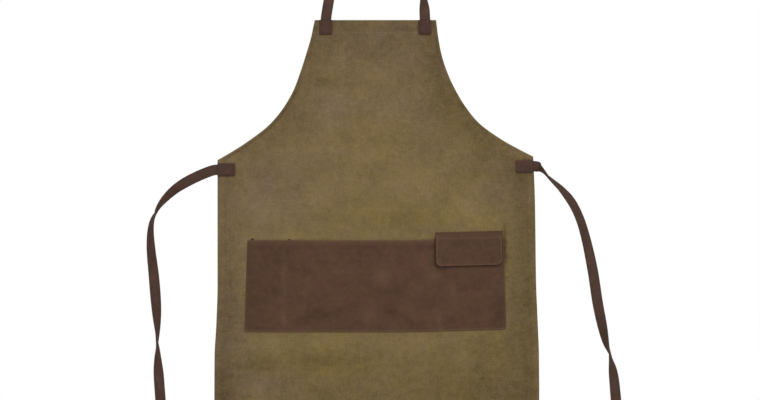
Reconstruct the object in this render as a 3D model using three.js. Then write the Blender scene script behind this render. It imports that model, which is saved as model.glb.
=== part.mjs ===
// Gardening apron of waxed canvas with a leather pocket, leather neck strap and leather ties.
// Millimetres, +Z up, +X to the right of someone who looks at its front, front face towards -Y.
// The origin is the underside of the neck strap's highest point, where the apron hangs.
import * as THREE from "three";

// Cloth and leather
const canvasWall = 1.2;
const hemWall = 1.2;
const pocketWall = 1.8;
const flapWall = 1.8;
const patchWall = 1.6;
const strapWidth = 20;
const strapWall = 2.4;
const clearance = 0.3; // between pieces that lie on each other

// Canvas
const bibTopWidth = 230;
const bibDepth = 262;
const waistWidth = 599;
const waistSlant = 6.6; // the left waist corner hangs this much lower than the right one
const hemFlare = 12; // how far the lower right corner stands out past the waist
const apronLength = 840;
const topHemDepth = 24;
const armholeHemDepth = 9;
const sideHemDepth = 18;
const bottomHemDepth = 20;
const foldDepth = 7;
const sideTurn = 10; // how far the right edge curls back at the hem

// Neck strap, hung over a round neck or peg
const neckDrop = 262; // from the underside of the loop to the bib's top edge
const neckRadius = 62;
const neckPatchInset = 8.8;
const neckPatchHeight = 28;
const rightRunBow = 7;

// Patches that hold the strap ends, with a flange round a raised middle
const patchFlange = 1;
const patchRamp = 1;
const patchSideRoom = 0.4;
const strapEndRoom = 1;

// Ties
const tieLength = 800;
const waistPatchLength = 34;
const waistPatchDrop = 6; // below the waist corner
const tieStraight = 3; // how far a tie leaves the canvas edge before it turns

// Pocket and flap
const pocketTopWidth = 484;
const pocketSpread = 12; // how much wider it is at the bottom
const pocketHeight = 174;
const pocketDrop = 417; // from the bib's top edge to the pocket's mouth
const pocketLift = 6; // how much the right end rides higher
const mouthGap = 8; // how far the middle compartment's mouth stands off the canvas
const flapWidth = 127.6;
const flapHeight = 64.2;
const flapOverlap = 51.2; // how far it hangs below the mouth
const flapInset = 1; // its right edge stands this far inside the pocket's right top corner
const flapCorner = 11;
const flapSeam = 4;
const flapBend = 8; // height of the stretch that bends out over the mouth
const flapLift = 2.2; // how much further its lower edge stands off
const flapTilt = 1.4; // degrees, right end up

// Shares that shape the hang
const curlStart = 0.33; // of the waist width from the centre line, where the curl of an edge begins
const curlFall = 0.3; // of the apron's length, where the curl begins to grow
const leftCurl = 0.6; // the left edge's share of the right edge's curl
const waistCurl = 0.4; // share of the curl that shows at the waist
const liftStart = 0.55; // of the pocket's width, where its right part begins to ride higher
const liftEnd = 1.15;

// Mesh fineness
const bodyColumns = 36;
const bibRows = 16;
const skirtRows = 13;
const archSteps = 12;
const runSteps = 6;
const neckSteps = 60;
const tieSteps = 64;
const pocketRows = 7;
const flapColumns = 10;
const cornerSteps = 4;
const rowRoom = 0.02; // least distance between two rows of a hem

const patchBorder = patchFlange + patchRamp + patchSideRoom;
const patchAcross = strapWidth + 2 * patchBorder;
const canvasFace = canvasWall / 2;
const seat = canvasFace + clearance; // where a piece lies on the canvas
const strapFace = seat + strapWall;
const strapAhead = seat + strapWall / 2;
const flapRight = pocketTopWidth / 2 - flapInset;

// The armhole edge: share of the bib's depth, then how far each edge has moved out from the bib's
// corner to the waist corner, as shares of that distance.
const armhole = [
  [0, 0, 0],
  [0.125, 0.038, 0.022],
  [0.25, 0.091, 0.055],
  [0.375, 0.149, 0.111],
  [0.5, 0.217, 0.19],
  [0.625, 0.32, 0.293],
  [0.75, 0.47, 0.434],
  [0.875, 0.704, 0.673],
  [0.94, 0.85, 0.836],
  [1, 1, 1],
];

// The skirt's edge: share of the way from waist to hem, then the left and right flare as shares of hemFlare.
const skirt = [
  [0, 0, 0],
  [0.15, 0, 0.28],
  [0.41, 0, 0.47],
  [0.54, 0.2, 0.74],
  [0.65, 0.49, 0.95],
  [0.8, 0.52, 1],
  [1, 0.5, 1],
];

// Soft folds: across (share of the waist width from the centre), half width (share of it), where the fold
// starts, is full and is gone again (shares of the apron's length), forward depth (share of foldDepth).
const folds = [
  [-0.4, 0.085, 0.7, 1.02, 2, 0.9],
  [-0.21, 0.08, 0.7, 1.02, 2, -0.65],
  [-0.03, 0.09, 0.7, 1.02, 2, 0.8],
  [0.16, 0.08, 0.7, 1.02, 2, -0.55],
  [0.33, 0.085, 0.7, 1.02, 2, 0.8],
  [-0.08, 0.08, 0.05, 0.2, 0.44, 0.4],
  [0.09, 0.08, 0.05, 0.2, 0.44, -0.35],
  [-0.27, 0.1, 0.22, 0.37, 0.5, -0.25],
  [0.26, 0.1, 0.22, 0.37, 0.5, 0.25],
];

// Pocket compartments: left and right seam (shares of the pocket's width), mouth gap (share of mouthGap),
// number of columns in the mesh.
const compartments = [
  [0, 0.158, 0.72, 6],
  [0.158, 0.752, 1, 14],
  [0.752, 1, 0.68, 8],
];

// Neck strap's twist: share of the strap's length from its left end, share of a quarter turn.
const neckTwist = [
  [0, 0],
  [0.1, 0],
  [0.32, 1],
  [0.72, 1],
  [0.8, 0.96],
  [0.9, 0.55],
  [0.95, 0],
  [1, 0],
];

// Ties, from the canvas edge down: out, down and forward (shares of the tie's length), then turns.
const leftTie = [
  [0, 0, 0, 0],
  [0.009, 0.001, 0, 0],
  [0.031, 0.009, 0.003, 0.01],
  [0.063, 0.024, 0.006, 0.03],
  [0.094, 0.043, 0.008, 0.09],
  [0.119, 0.066, 0.008, 0.15],
  [0.137, 0.09, 0.008, 0.22],
  [0.149, 0.115, 0.008, 0.315],
  [0.154, 0.14, 0.007, 0.36],
  [0.154, 0.18, 0.006, 0.415],
  [0.147, 0.25, 0.005, 0.49],
  [0.141, 0.33, 0.005, 0.605],
  [0.139, 0.4, 0.006, 0.765],
  [0.138, 0.44, 0.006, 0.88],
  [0.135, 0.49, 0.006, 0.985],
  [0.131, 0.55, 0.005, 1],
  [0.127, 0.68, 0.004, 1.04],
  [0.125, 0.9, 0.004, 1.1],
];
const rightTie = [
  [0, 0, 0, 0],
  [0.008, 0.0005, 0.0005, 0],
  [0.016, 0.0055, 0.004, 0.175],
  [0.026, 0.0155, 0.007, 0.235],
  [0.043, 0.034, 0.008, 0.3],
  [0.064, 0.0535, 0.008, 0.35],
  [0.088, 0.0825, 0.007, 0.405],
  [0.107, 0.12, 0.006, 0.41],
  [0.1225, 0.17, 0.005, 0.43],
  [0.1385, 0.245, 0.004, 0.49],
  [0.15, 0.32, 0.004, 0.53],
  [0.16, 0.37, 0.004, 0.585],
  [0.169, 0.41, 0.005, 0.67],
  [0.1795, 0.445, 0.005, 0.79],
  [0.187, 0.49, 0.005, 0.94],
  [0.193, 0.55, 0.004, 1],
  [0.208, 0.72, 0.004, 1.03],
  [0.222, 0.93, 0.004, 1.1],
];

const quarterTurn = Math.PI / 2;
const fullTurn = 2 * Math.PI;
const mix = THREE.MathUtils.lerp;
const rise = (from, to, at) => THREE.MathUtils.smoothstep(at, from, to);
const evenly = (count) => Array.from({ length: count + 1 }, (_, i) => i / count);

// Reads one column of a table at a value of its first column, on a smooth curve through the rows that
// never swings past them: a row's slope is the harmonic mean of the slopes beside it.
function readTable(table, at, column) {
  const steps = table.slice(1).map((row, i) => (row[column] - table[i][column]) / (row[0] - table[i][0]));
  const slope = (i) => {
    const [before, after] = [steps[i - 1] ?? steps[0], steps[i] ?? steps.at(-1)];
    return before * after > 0 ? (2 * before * after) / (before + after) : 0;
  };
  const next = table.findIndex((row, i) => i > 0 && (at <= row[0] || i === table.length - 1));
  const [low, high] = [table[next - 1], table[next]];
  const gap = high[0] - low[0];
  const t = THREE.MathUtils.clamp((at - low[0]) / gap, 0, 1);
  const bend = (1 - t) * (1 - t) * slope(next - 1) - t * (1 - t) * slope(next);
  return mix(low[column], high[column], t * t * (3 - 2 * t)) + t * gap * bend;
}

// A closed sheet with one vertex for each pair of a column and a row, front and back, put in place by
// place(column, row, front), where front is 1 on the side towards the viewer and 0 behind.
function sheet(columns, rows, place) {
  const [across, down] = [columns.length, rows.length];
  const layer = (front) => rows.flatMap((row) => columns.flatMap((column) => place(column, row, front)));
  const vertex = (i, j, back = 0) => (back * down + j) * across + i;
  const index = [];
  const quad = (a, b, c, d) => index.push(a, b, c, a, c, d);
  for (let j = 1; j < down; j += 1) {
    for (let i = 1; i < across; i += 1) {
      quad(vertex(i - 1, j - 1), vertex(i - 1, j), vertex(i, j), vertex(i, j - 1));
      quad(vertex(i - 1, j - 1, 1), vertex(i, j - 1, 1), vertex(i, j, 1), vertex(i - 1, j, 1));
    }
  }
  const rim = [
    ...rows.map((_, j) => [0, j]),
    ...columns.map((_, i) => [i, down - 1]).slice(1),
    ...rows.map((_, j) => [across - 1, j]).reverse().slice(1),
    ...columns.map((_, i) => [i, 0]).reverse().slice(1),
  ];
  rim.slice(1).forEach(([i, j], k) => {
    const [i0, j0] = rim[k];
    quad(vertex(i0, j0), vertex(i0, j0, 1), vertex(i, j, 1), vertex(i, j));
  });
  const geometry = new THREE.BufferGeometry().setIndex(index);
  geometry.setAttribute("position", new THREE.Float32BufferAttribute([...layer(1), ...layer(0)], 3));
  geometry.computeVertexNormals();
  return geometry;
}

// Half widths of the canvas at a level: 0 is the bib's top edge, 1 the waist corners and 2 the hem.
function halfWidth(level, side) {
  const column = side < 0 ? 1 : 2;
  if (level <= 1) return mix(bibTopWidth, waistWidth, readTable(armhole, level, column)) / 2;
  return waistWidth / 2 + hemFlare * readTable(skirt, level - 1, column);
}

function waistDrop(across) {
  return bibDepth + waistSlant * (0.5 - across);
}

// Depth of the hanging cloth's middle surface: soft folds, and both side edges curled back.
function drape(x, drop) {
  const across = x / waistWidth;
  const down = drop / apronLength;
  const forward = folds.reduce((sum, [at, half, starts, full, gone, depth]) => {
    const strength = rise(starts, full, down) * (1 - rise(full, gone, down));
    return sum + foldDepth * depth * strength * Math.exp(-(((across - at) / half) ** 2) / 2);
  }, 0);
  const curl = Math.max(Math.abs(across) - curlStart, 0) / (0.5 - curlStart);
  const side = x < 0 ? leftCurl : 1;
  return sideTurn * side * mix(waistCurl, 1, rise(curlFall, 1, down)) * curl * curl - forward;
}

// A point on the cloth, at a distance in front of its middle surface.
function onCloth(x, drop, ahead) {
  return [x, drape(x, drop) - ahead, -neckDrop - drop];
}

function canvasPoint(across, level) {
  const x = mix(-halfWidth(level, -1), halfWidth(level, 1), across);
  const waist = waistDrop(across);
  return [x, level <= 1 ? level * waist : mix(waist, apronLength, level - 1)];
}

// Levels of the body's rows, closer together towards the waist corners.
const bibLevels = evenly(bibRows).map((s) => 1 - (1 - s) ** 1.5);
const skirtLevels = evenly(skirtRows).map((s) => 1 + s);

function apronBody() {
  return sheet(evenly(bodyColumns), [...bibLevels, ...skirtLevels.slice(1)], (across, level, front) => {
    return onCloth(...canvasPoint(across, level), mix(-canvasFace, canvasFace, front));
  });
}

// Turned hems are a second layer behind the canvas.
function hemAhead(front) {
  return -canvasFace - clearance - hemWall * (1 - front);
}

function topHem() {
  return sheet(evenly(bodyColumns / 2), [0, 1], (across, row, front) => {
    const level = (row * topHemDepth) / bibDepth;
    const [x] = canvasPoint(across, level);
    return onCloth(x, row * topHemDepth, hemAhead(front));
  });
}

function bottomHem() {
  return sheet(evenly(bodyColumns), [1, 0], (across, row, front) => {
    const [x] = canvasPoint(across, 2);
    return onCloth(x, apronLength - row * bottomHemDepth, hemAhead(front));
  });
}

const levelStep = 0.002;

// Unit direction along the canvas edge, downwards, and the one that points into the canvas.
function edgeDirections(side, level, before) {
  const step = before ? -levelStep : levelStep;
  const across = side < 0 ? 0 : 1;
  const [x0, drop0] = canvasPoint(across, level);
  const [x1, drop1] = canvasPoint(across, level + step);
  const along = new THREE.Vector2(x1 - x0, drop1 - drop0).normalize().multiplyScalar(before ? -1 : 1);
  return { along, inward: new THREE.Vector2(-side * along.y, side * along.x) };
}

// From the waist corner to the point where the inner edges of the armhole hem and the side hem meet.
function hemMitre(side) {
  const above = edgeDirections(side, 1, true).inward;
  const below = edgeDirections(side, 1, false).inward;
  const shared = above.dot(below);
  return above.multiplyScalar((armholeHemDepth - shared * sideHemDepth) / (1 - shared * shared))
    .addScaledVector(below, (sideHemDepth - shared * armholeHemDepth) / (1 - shared * shared));
}

// A band along one side edge, between two levels, with a mitre at the waist corner.
function sideHem(side, levels) {
  const onArmhole = levels[0] < 1;
  const hemDepth = onArmhole ? armholeHemDepth : sideHemDepth;
  const columns = side < 0 ? [0, 1] : [1, 0];
  return sheet(columns, levels, (depth, level, front) => {
    const [x, drop] = canvasPoint(side < 0 ? 0 : 1, level);
    const { along, inward } = edgeDirections(side, level, onArmhole || level > levels[0]);
    const across = level === 1 ? hemMitre(side) : inward.multiplyScalar(hemDepth);
    const point = new THREE.Vector2(x, drop).addScaledVector(across, depth);
    if (level === 1) point.addScaledVector(along, onArmhole ? -clearance : clearance);
    return onCloth(point.x, point.y, hemAhead(front));
  });
}

// The side hems stop short of the top and bottom hems, and use the body's own rows between. The last row
// above the waist corner is as far from it as the mitre reaches back along the edge.
function armholeLevels(side) {
  const first = (topHemDepth + clearance) / (bibDepth - waistSlant / 2);
  const reach = -hemMitre(side).dot(edgeDirections(side, 1, true).along);
  const [cornerX, cornerDrop] = canvasPoint(side < 0 ? 0 : 1, 1);
  const clearOfMitre = (level) => {
    const [x, drop] = canvasPoint(side < 0 ? 0 : 1, level);
    return level === 1 || Math.hypot(x - cornerX, drop - cornerDrop) > reach + clearance;
  };
  return [first, ...bibLevels.filter((level) => level > first + rowRoom && clearOfMitre(level))];
}

function skirtSideLevels() {
  const last = 2 - (bottomHemDepth + 2 * clearance) / (apronLength - bibDepth - waistSlant);
  return [...skirtLevels.filter((level) => level < last - rowRoom), last];
}

// A flat strap along points, turned about its own line; turn 0 shows its face to the viewer.
function strap(points, turnAt, shares) {
  const curve = new THREE.CatmullRomCurve3(points);
  curve.arcLengthDivisions = 800;
  return sheet([-0.5, 0, 0.5], shares, (across, share, front) => {
    const centre = curve.getPointAt(share);
    const along = curve.getTangentAt(share);
    const flat = along.clone().cross(new THREE.Vector3(0, 1, 0)).normalize();
    const wide = flat.applyAxisAngle(along, turnAt(share, curve.getUtoTmapping(share)));
    const thick = along.clone().cross(wide).normalize();
    centre.addScaledVector(wide, across * strapWidth);
    return centre.addScaledVector(thick, (front - 0.5) * strapWall).toArray();
  });
}

const neckPatchX = bibTopWidth / 2 - neckPatchInset - patchAcross / 2;
const strapTuck = neckPatchHeight - patchFlange - patchRamp - strapEndRoom;

// The neck strap runs from inside the left patch up to a round arch and down into the right patch.
function neckStrap() {
  const arch = neckRadius + strapWall / 2;
  const reach = Math.hypot(neckPatchX, neckDrop - neckRadius);
  const lean = Math.atan2(neckPatchX, neckDrop - neckRadius) - Math.asin(arch / reach);
  const run = Math.sqrt(reach * reach - arch * arch);
  const straightRun = (side, bow) => evenly(runSteps).slice(1, -1).map((share) => {
    const up = share * run * Math.cos(lean);
    const x = neckPatchX - share * run * Math.sin(lean) + bow * Math.sin(Math.PI * share);
    const y = drape(side * neckPatchX, 0) - strapAhead;
    return new THREE.Vector3(side * x, y * (1 - share), up - neckDrop);
  });
  const end = (side, down) => new THREE.Vector3(...onCloth(side * neckPatchX, down, strapAhead));
  const top = evenly(archSteps).map((share) => {
    const angle = mix(Math.PI - lean, lean, share);
    return new THREE.Vector3(arch * Math.cos(angle), 0, arch * Math.sin(angle) - neckRadius);
  });
  const ends = [1, 0.5, 0];
  const points = [
    ...ends.map((share) => end(-1, share * strapTuck)),
    ...straightRun(-1, 0),
    ...top,
    ...straightRun(1, rightRunBow).reverse(),
    ...ends.map((share) => end(1, (1 - share) * strapTuck)),
  ];
  return strap(points, (share) => -quarterTurn * readTable(neckTwist, share, 1), evenly(neckSteps));
}

const tieDrop = (side) => waistDrop(side < 0 ? 0 : 1) + waistPatchDrop + patchAcross / 2;
const tieTuck = waistPatchLength - patchFlange - patchRamp - strapEndRoom;

// A tie runs from inside its waist patch to the canvas edge, and from there its route has the tie's length.
function tie(side, table) {
  const route = table.map(([out, down, forward]) => new THREE.Vector3(side * out, -forward, -down));
  const size = tieLength / new THREE.CatmullRomCurve3(route).getLength();
  const drop = tieDrop(side);
  const edge = (waistWidth / 2) * side;
  const onWaist = (tucked) => new THREE.Vector3(...onCloth(edge - side * tucked, drop, strapAhead));
  const points = [onWaist(tieTuck), onWaist(tieTuck / 2)];
  points.push(...route.map((point) => point.multiplyScalar(size).add(onWaist(0))));
  const turns = [0, 0, ...table.map((row) => row[3])].map((turn, i) => [i, turn]);
  const turnAt = (share, t) => side * fullTurn * readTable(turns, t * (turns.length - 1), 1);
  const start = (tieTuck + tieStraight) / (tieTuck + tieLength);
  return strap(points, turnAt, [0, start / 2, ...evenly(tieSteps).map((share) => mix(start, 1, share))]);
}

// A leather patch: flanges on three sides lie on the canvas, its middle is raised over the strap's end.
// along runs from the side where the strap comes in, across from the patch's middle line.
function patchStations(length) {
  const edges = [patchAcross / 2, patchAcross / 2 - patchFlange, patchAcross / 2 - patchFlange - patchRamp];
  return {
    across: [...edges.map((at) => -at), 0, ...edges.reverse()],
    along: [0, length / 2, length - patchFlange - patchRamp, length - patchFlange, length],
  };
}

function patchAhead(across, along, length, front) {
  const inside = Math.min(patchAcross / 2 - Math.abs(across), length - along);
  const raised = THREE.MathUtils.clamp((inside - patchFlange) / patchRamp, 0, 1);
  return mix(seat, strapFace + clearance, raised) + patchWall * front;
}

function neckPatch(side) {
  const { across, along } = patchStations(neckPatchHeight);
  return sheet(across, along, (column, row, front) => {
    return onCloth(side * neckPatchX + column, row, patchAhead(column, row, neckPatchHeight, front));
  });
}

function waistPatch(side) {
  const { across, along } = patchStations(waistPatchLength);
  const columns = side < 0 ? along : along.reverse();
  return sheet(columns, across, (column, row, front) => {
    const x = side * (waistWidth / 2 - column);
    return onCloth(x, tieDrop(side) + row, patchAhead(row, column, waistPatchLength, front));
  });
}

// How far the pocket's back stands off the canvas, at a share across and a share down.
function pocketBulge(across, down) {
  const [left, right, gap] = compartments.find((row) => across <= row[1]) ?? compartments.at(-1);
  const inside = (2 * (across - left)) / (right - left) - 1;
  return mouthGap * gap * (1 - inside ** 4) * Math.cos(quarterTurn * down);
}

// The pocket's right part rides higher, as its mouth and bottom edge do.
function pocketPoint(across, down) {
  const x = (across - 0.5) * (pocketTopWidth + pocketSpread * down);
  return [x, pocketDrop + down * pocketHeight - pocketLift * rise(liftStart, liftEnd, across)];
}

function pocketPanel() {
  const columns = compartments.flatMap(([left, right, , count]) => {
    return evenly(count).slice(left > 0 ? 1 : 0).map((share) => mix(left, right, share));
  });
  return sheet(columns, evenly(pocketRows), (across, down, front) => {
    const ahead = seat + pocketBulge(across, down) + pocketWall * front;
    return onCloth(...pocketPoint(across, down), ahead);
  });
}

// The flap lies on the canvas at its seam, bends out over the pocket's mouth and hangs in front of it.
function pocketFlap() {
  const overMouth = seat + mouthGap * compartments.at(-1)[2] + pocketWall + 2 * clearance;
  const hangStart = flapSeam + flapBend;
  const cornerStart = flapHeight - flapCorner;
  const bend = [0, flapSeam, flapSeam + flapBend / 2, hangStart];
  const hang = [1 / 3, 2 / 3].map((share) => mix(hangStart, cornerStart, share));
  const corner = evenly(cornerSteps).map((share) => cornerStart + flapCorner * Math.sin(quarterTurn * share));
  const top = pocketDrop - pocketLift / 2 - flapHeight + flapOverlap;
  const tilt = Math.tan(THREE.MathUtils.degToRad(flapTilt));
  return sheet(evenly(flapColumns), [...bend, ...hang, ...corner], (across, down, front) => {
    const intoCorner = Math.max(down - cornerStart, 0);
    const inset = flapCorner - Math.sqrt(flapCorner * flapCorner - intoCorner * intoCorner);
    const x = flapRight - flapWidth + mix(inset, flapWidth - inset, across);
    const level = top + down - (x - flapRight + flapWidth / 2) * tilt;
    const bent = mix(seat, overMouth, rise(flapSeam, hangStart, down));
    const hanging = flapLift * rise(hangStart, flapHeight, down);
    return onCloth(x, level, bent + hanging + flapWall * front);
  });
}

const canvas = { color: 0x766844, roughness: 0.9, metalness: 0 };
const canvasBack = { color: 0x6a5d40, roughness: 0.92, metalness: 0 };
const pocketLeather = { color: 0x553f31, roughness: 0.6, metalness: 0 };
const strapLeather = { color: 0x4f3c32, roughness: 0.65, metalness: 0 };

const apron = new THREE.Group();
apron.name = "gardening_apron";

function add(name, geometry, finish) {
  const mesh = new THREE.Mesh(geometry, new THREE.MeshStandardMaterial(finish));
  mesh.name = name;
  apron.add(mesh);
}

add("apron_body", apronBody(), canvas);
add("bib_top_hem", topHem(), canvasBack);
add("bottom_hem", bottomHem(), canvasBack);
for (const [name, side] of [["left", -1], ["right", 1]]) {
  add("armhole_hem_" + name, sideHem(side, armholeLevels(side)), canvasBack);
  add("side_hem_" + name, sideHem(side, skirtSideLevels()), canvasBack);
  add("neck_patch_" + name, neckPatch(side), strapLeather);
  add("waist_patch_" + name, waistPatch(side), strapLeather);
  add("waist_tie_" + name, tie(side, side < 0 ? leftTie : rightTie), strapLeather);
}
add("neck_strap", neckStrap(), strapLeather);
add("pocket_panel", pocketPanel(), pocketLeather);
add("pocket_flap", pocketFlap(), pocketLeather);

export default apron;
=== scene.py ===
# Gardening apron: waxed canvas, a wide leather pocket with a flap, leather neck strap and leather ties.
# Shapes are worked out in millimetres and go into the scene in metres, with +Z up and the front towards -Y.
# The origin is the underside of the neck strap's highest point, where the apron hangs.
import math

import bpy
import numpy as np
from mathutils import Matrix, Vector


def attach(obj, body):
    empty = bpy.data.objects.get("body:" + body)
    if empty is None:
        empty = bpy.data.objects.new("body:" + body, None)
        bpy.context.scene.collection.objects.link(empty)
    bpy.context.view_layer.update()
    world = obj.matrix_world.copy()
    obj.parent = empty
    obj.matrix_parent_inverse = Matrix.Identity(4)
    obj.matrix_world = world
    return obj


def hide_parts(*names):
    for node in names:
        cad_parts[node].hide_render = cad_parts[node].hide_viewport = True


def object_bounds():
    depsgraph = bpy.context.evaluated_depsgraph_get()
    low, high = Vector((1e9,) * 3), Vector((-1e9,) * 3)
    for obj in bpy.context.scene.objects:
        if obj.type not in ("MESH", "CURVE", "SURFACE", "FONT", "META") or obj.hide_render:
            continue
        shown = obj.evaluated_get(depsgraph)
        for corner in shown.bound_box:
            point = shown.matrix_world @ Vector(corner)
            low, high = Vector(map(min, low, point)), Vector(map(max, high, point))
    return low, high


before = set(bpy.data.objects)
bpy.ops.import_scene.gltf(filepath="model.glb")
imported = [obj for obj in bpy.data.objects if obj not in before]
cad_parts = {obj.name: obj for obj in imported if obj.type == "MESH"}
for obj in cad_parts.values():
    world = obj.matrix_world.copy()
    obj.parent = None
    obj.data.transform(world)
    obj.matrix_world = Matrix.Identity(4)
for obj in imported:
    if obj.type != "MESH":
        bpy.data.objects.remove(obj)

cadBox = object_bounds()
print("frame loaded")

# Sizes that all the pieces share
cloth = {
    "wall": 1.2,
    "room": 0.3,  # between pieces that lie on each other
    "bibTop": 230,
    "bibDepth": 262,
    "waist": 599,
    "waistSlant": 6.6,  # the left waist corner hangs lower
    "flare": 12,  # how far the skirt's edges move out below the waist
    "length": 840,
    "neckDrop": 262,
    "foldDepth": 7,
    "curl": 10,  # how far the right edge curls back at the hem
    "leftCurl": 0.6,  # share of that on the left
    "waistCurl": 0.4,  # share of it above curlFall, which is a share of the length
    "curlStart": 0.33,  # share of the waist, from the middle
    "curlFall": 0.3,
    "bibStep": 3.4,  # from row to row of the mesh
    "skirtStep": 3.5,
    "edgeBand": 12,  # finer columns along both edges
    "edgeStep": 2.2,
    "columns": 150,
}

hems = {
    "top": 24,
    "armhole": 9,
    "side": 18,
    "bottom": 20,
    "wall": 1.2,
    "roll": 1.35,  # radius of the folded edge
    "fold": 0.6,  # radius of the inner edge and the ends
    "inset": 2.2,  # from a hem's inner edge to its stitch line
    "dent": 0.25,  # how deep the stitch line lies
    "dentWidth": 0.8,
    "mitre": 26,  # how far from the waist corner the inner edge swings to the mitre
}

pocket = {
    "top": 484,
    "spread": 12,  # how much wider its bottom is
    "height": 174,
    "drop": 417,
    "lift": 6,  # how far the right end rides up, from liftStart to liftEnd (shares of the width)
    "liftStart": 0.55,
    "liftEnd": 1.15,
    "gap": 8,  # how far the mouth stands off the canvas
    "wall": 1.8,
    "edge": 0.8,
    "seam": 2.6,  # from the sewn edges to their stitch line
    "mouthTurn": 6,  # depth of the turned mouth edge
    "mouthSeam": 4.8,
    "thick": 0.35,  # what the turned edge adds
    "dent": 0.3,
    "corner": 4.5,
}

# Share of the bib's depth, then how far the left and right edges have moved out towards the waist corner
armhole = [
    (0, 0, 0), (0.125, 0.038, 0.022), (0.25, 0.091, 0.055), (0.375, 0.149, 0.111), (0.5, 0.217, 0.19),
    (0.625, 0.32, 0.293), (0.75, 0.47, 0.434), (0.875, 0.704, 0.673), (0.94, 0.85, 0.836), (1, 1, 1),
]

# Share of the way from waist to hem, then the left and right flare
skirt = [
    (0, 0, 0), (0.15, 0, 0.28), (0.41, 0, 0.47), (0.54, 0.2, 0.74),
    (0.65, 0.49, 0.95), (0.8, 0.52, 1), (1, 0.5, 1),
]

# Soft folds: across and half width (shares of the waist), where one starts, is full, fades and is gone
# (shares of the length), and its depth towards the front (share of foldDepth)
folds = [
    (-0.4, 0.085, 0.7, 1.02, 2, 0.9), (-0.21, 0.08, 0.7, 1.02, 2, -0.65), (-0.03, 0.09, 0.7, 1.02, 2, 0.8),
    (0.16, 0.08, 0.7, 1.02, 2, -0.55), (0.33, 0.085, 0.7, 1.02, 2, 0.8),
    (-0.08, 0.08, 0.05, 0.2, 0.44, 0.4), (0.09, 0.08, 0.05, 0.2, 0.44, -0.35),
    (-0.27, 0.1, 0.22, 0.37, 0.5, -0.25), (0.26, 0.1, 0.22, 0.37, 0.5, 0.25),
]

# Shallow wrinkles: across and down (mm), half length, half width (mm), lean (degrees), height (mm)
wrinkles = [
    (-76, 118, 42, 6, -8, 0.5), (60, 96, 50, 7, 6, 0.35), (-10, 224, 70, 8, 2, 0.45),
    (48, 250, 44, 6, -12, -0.35), (150, 262, 60, 9, 48, -0.25), (214, 300, 52, 8, 40, 0.2),
    (-150, 300, 56, 8, -42, 0.4), (-172, 350, 60, 3, 90, 0.3), (-172, 680, 60, 3, 90, 0.3),
    (-225, 622, 40, 7, 14, -0.45), (-80, 640, 46, 8, 8, -0.5), (40, 632, 60, 9, -5, 0.4),
    (130, 668, 54, 8, 12, -0.4), (220, 700, 60, 9, 30, 0.4), (-262, 470, 70, 6, 86, -0.35),
    (268, 560, 80, 7, 92, -0.4),
]


# Smooth step from 0 to 1 between two values
def rise(low, high, at):
    t = np.clip((at - low) / (high - low), 0, 1)
    return t * t * (3 - 2 * t)


# A smooth curve through a table's rows that never swings past them: a cubic between two rows, where a
# row's slope is the harmonic mean of the slopes beside it
def readTable(rows, at, column):
    table = np.asarray(rows, float)
    place, value = table[:, 0], table[:, column]
    steps = np.diff(value) / np.diff(place)
    before = np.concatenate([steps[:1], steps])
    after = np.concatenate([steps, steps[-1:]])
    same = before * after > 0
    slope = np.where(same, 2 * before * after / np.where(same, before + after, 1), 0)
    at = np.clip(at, place[0], place[-1])
    i = np.clip(np.searchsorted(place, at), 1, len(place) - 1)
    gap = place[i] - place[i - 1]
    t = (at - place[i - 1]) / gap
    bend = (1 - t) ** 2 * slope[i - 1] - t * (1 - t) * slope[i]
    return value[i - 1] + (value[i] - value[i - 1]) * t * t * (3 - 2 * t) + t * gap * bend


# Sum of soft oval spots: each row is across, down, half length, half width, lean in degrees, strength
def softSpots(rows, x, drop):
    total = np.zeros(np.broadcast(x, drop).shape)
    for across, down, half, narrow, lean, strength in rows:
        turn = math.radians(lean)
        u = (x - across) * math.cos(turn) + (drop - down) * math.sin(turn)
        v = (drop - down) * math.cos(turn) - (x - across) * math.sin(turn)
        total = total + strength * np.exp(-((u / half) ** 2 + (v / narrow) ** 2) / 2)
    return total


# Bell curve: exp(-((value - centre) / width)^2)
def peak(value, centre, width):
    return np.exp(-(((value - centre) / width) ** 2))


# Distance of each point of a line from its first one, along it
def lengthAlong(line):
    return np.concatenate([[0], np.cumsum(np.linalg.norm(np.diff(line, axis=0), axis=1))])


# Reads a line of points at distances along it; beyond its ends it gives the end points
def lineAt(line, length, at):
    return np.stack([np.interp(at, length, line[:, k]) for k in range(line.shape[1])], axis=-1)


# Vectors divided by their lengths
def unit(vectors):
    return vectors / np.linalg.norm(vectors, axis=-1, keepdims=True)


# Direction of a line at distances along it, from the points a step before and behind
def wayAlong(line, length, at, step):
    return unit(lineAt(line, length, at + step) - lineAt(line, length, at - step))


# Half width of the canvas at a level, where 0 is the bib's top edge, 1 the waist corners and 2 the hem
def halfWidth(level, side):
    column = 1 if side < 0 else 2
    bib = cloth["bibTop"] + (cloth["waist"] - cloth["bibTop"]) * readTable(armhole, level, column)
    below = cloth["waist"] / 2 + cloth["flare"] * readTable(skirt, np.maximum(level - 1, 0), column)
    return np.where(level <= 1, bib / 2, below)


# Point on the flat canvas: across runs from 0 at the left edge to 1, down is measured from the bib's top
def canvasPoint(across, level):
    left, right = -halfWidth(level, -1), halfWidth(level, 1)
    waist = cloth["bibDepth"] + cloth["waistSlant"] * (0.5 - across)
    below = waist + (cloth["length"] - waist) * (level - 1)
    return left + (right - left) * across, np.where(level <= 1, level * waist, below)


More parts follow.
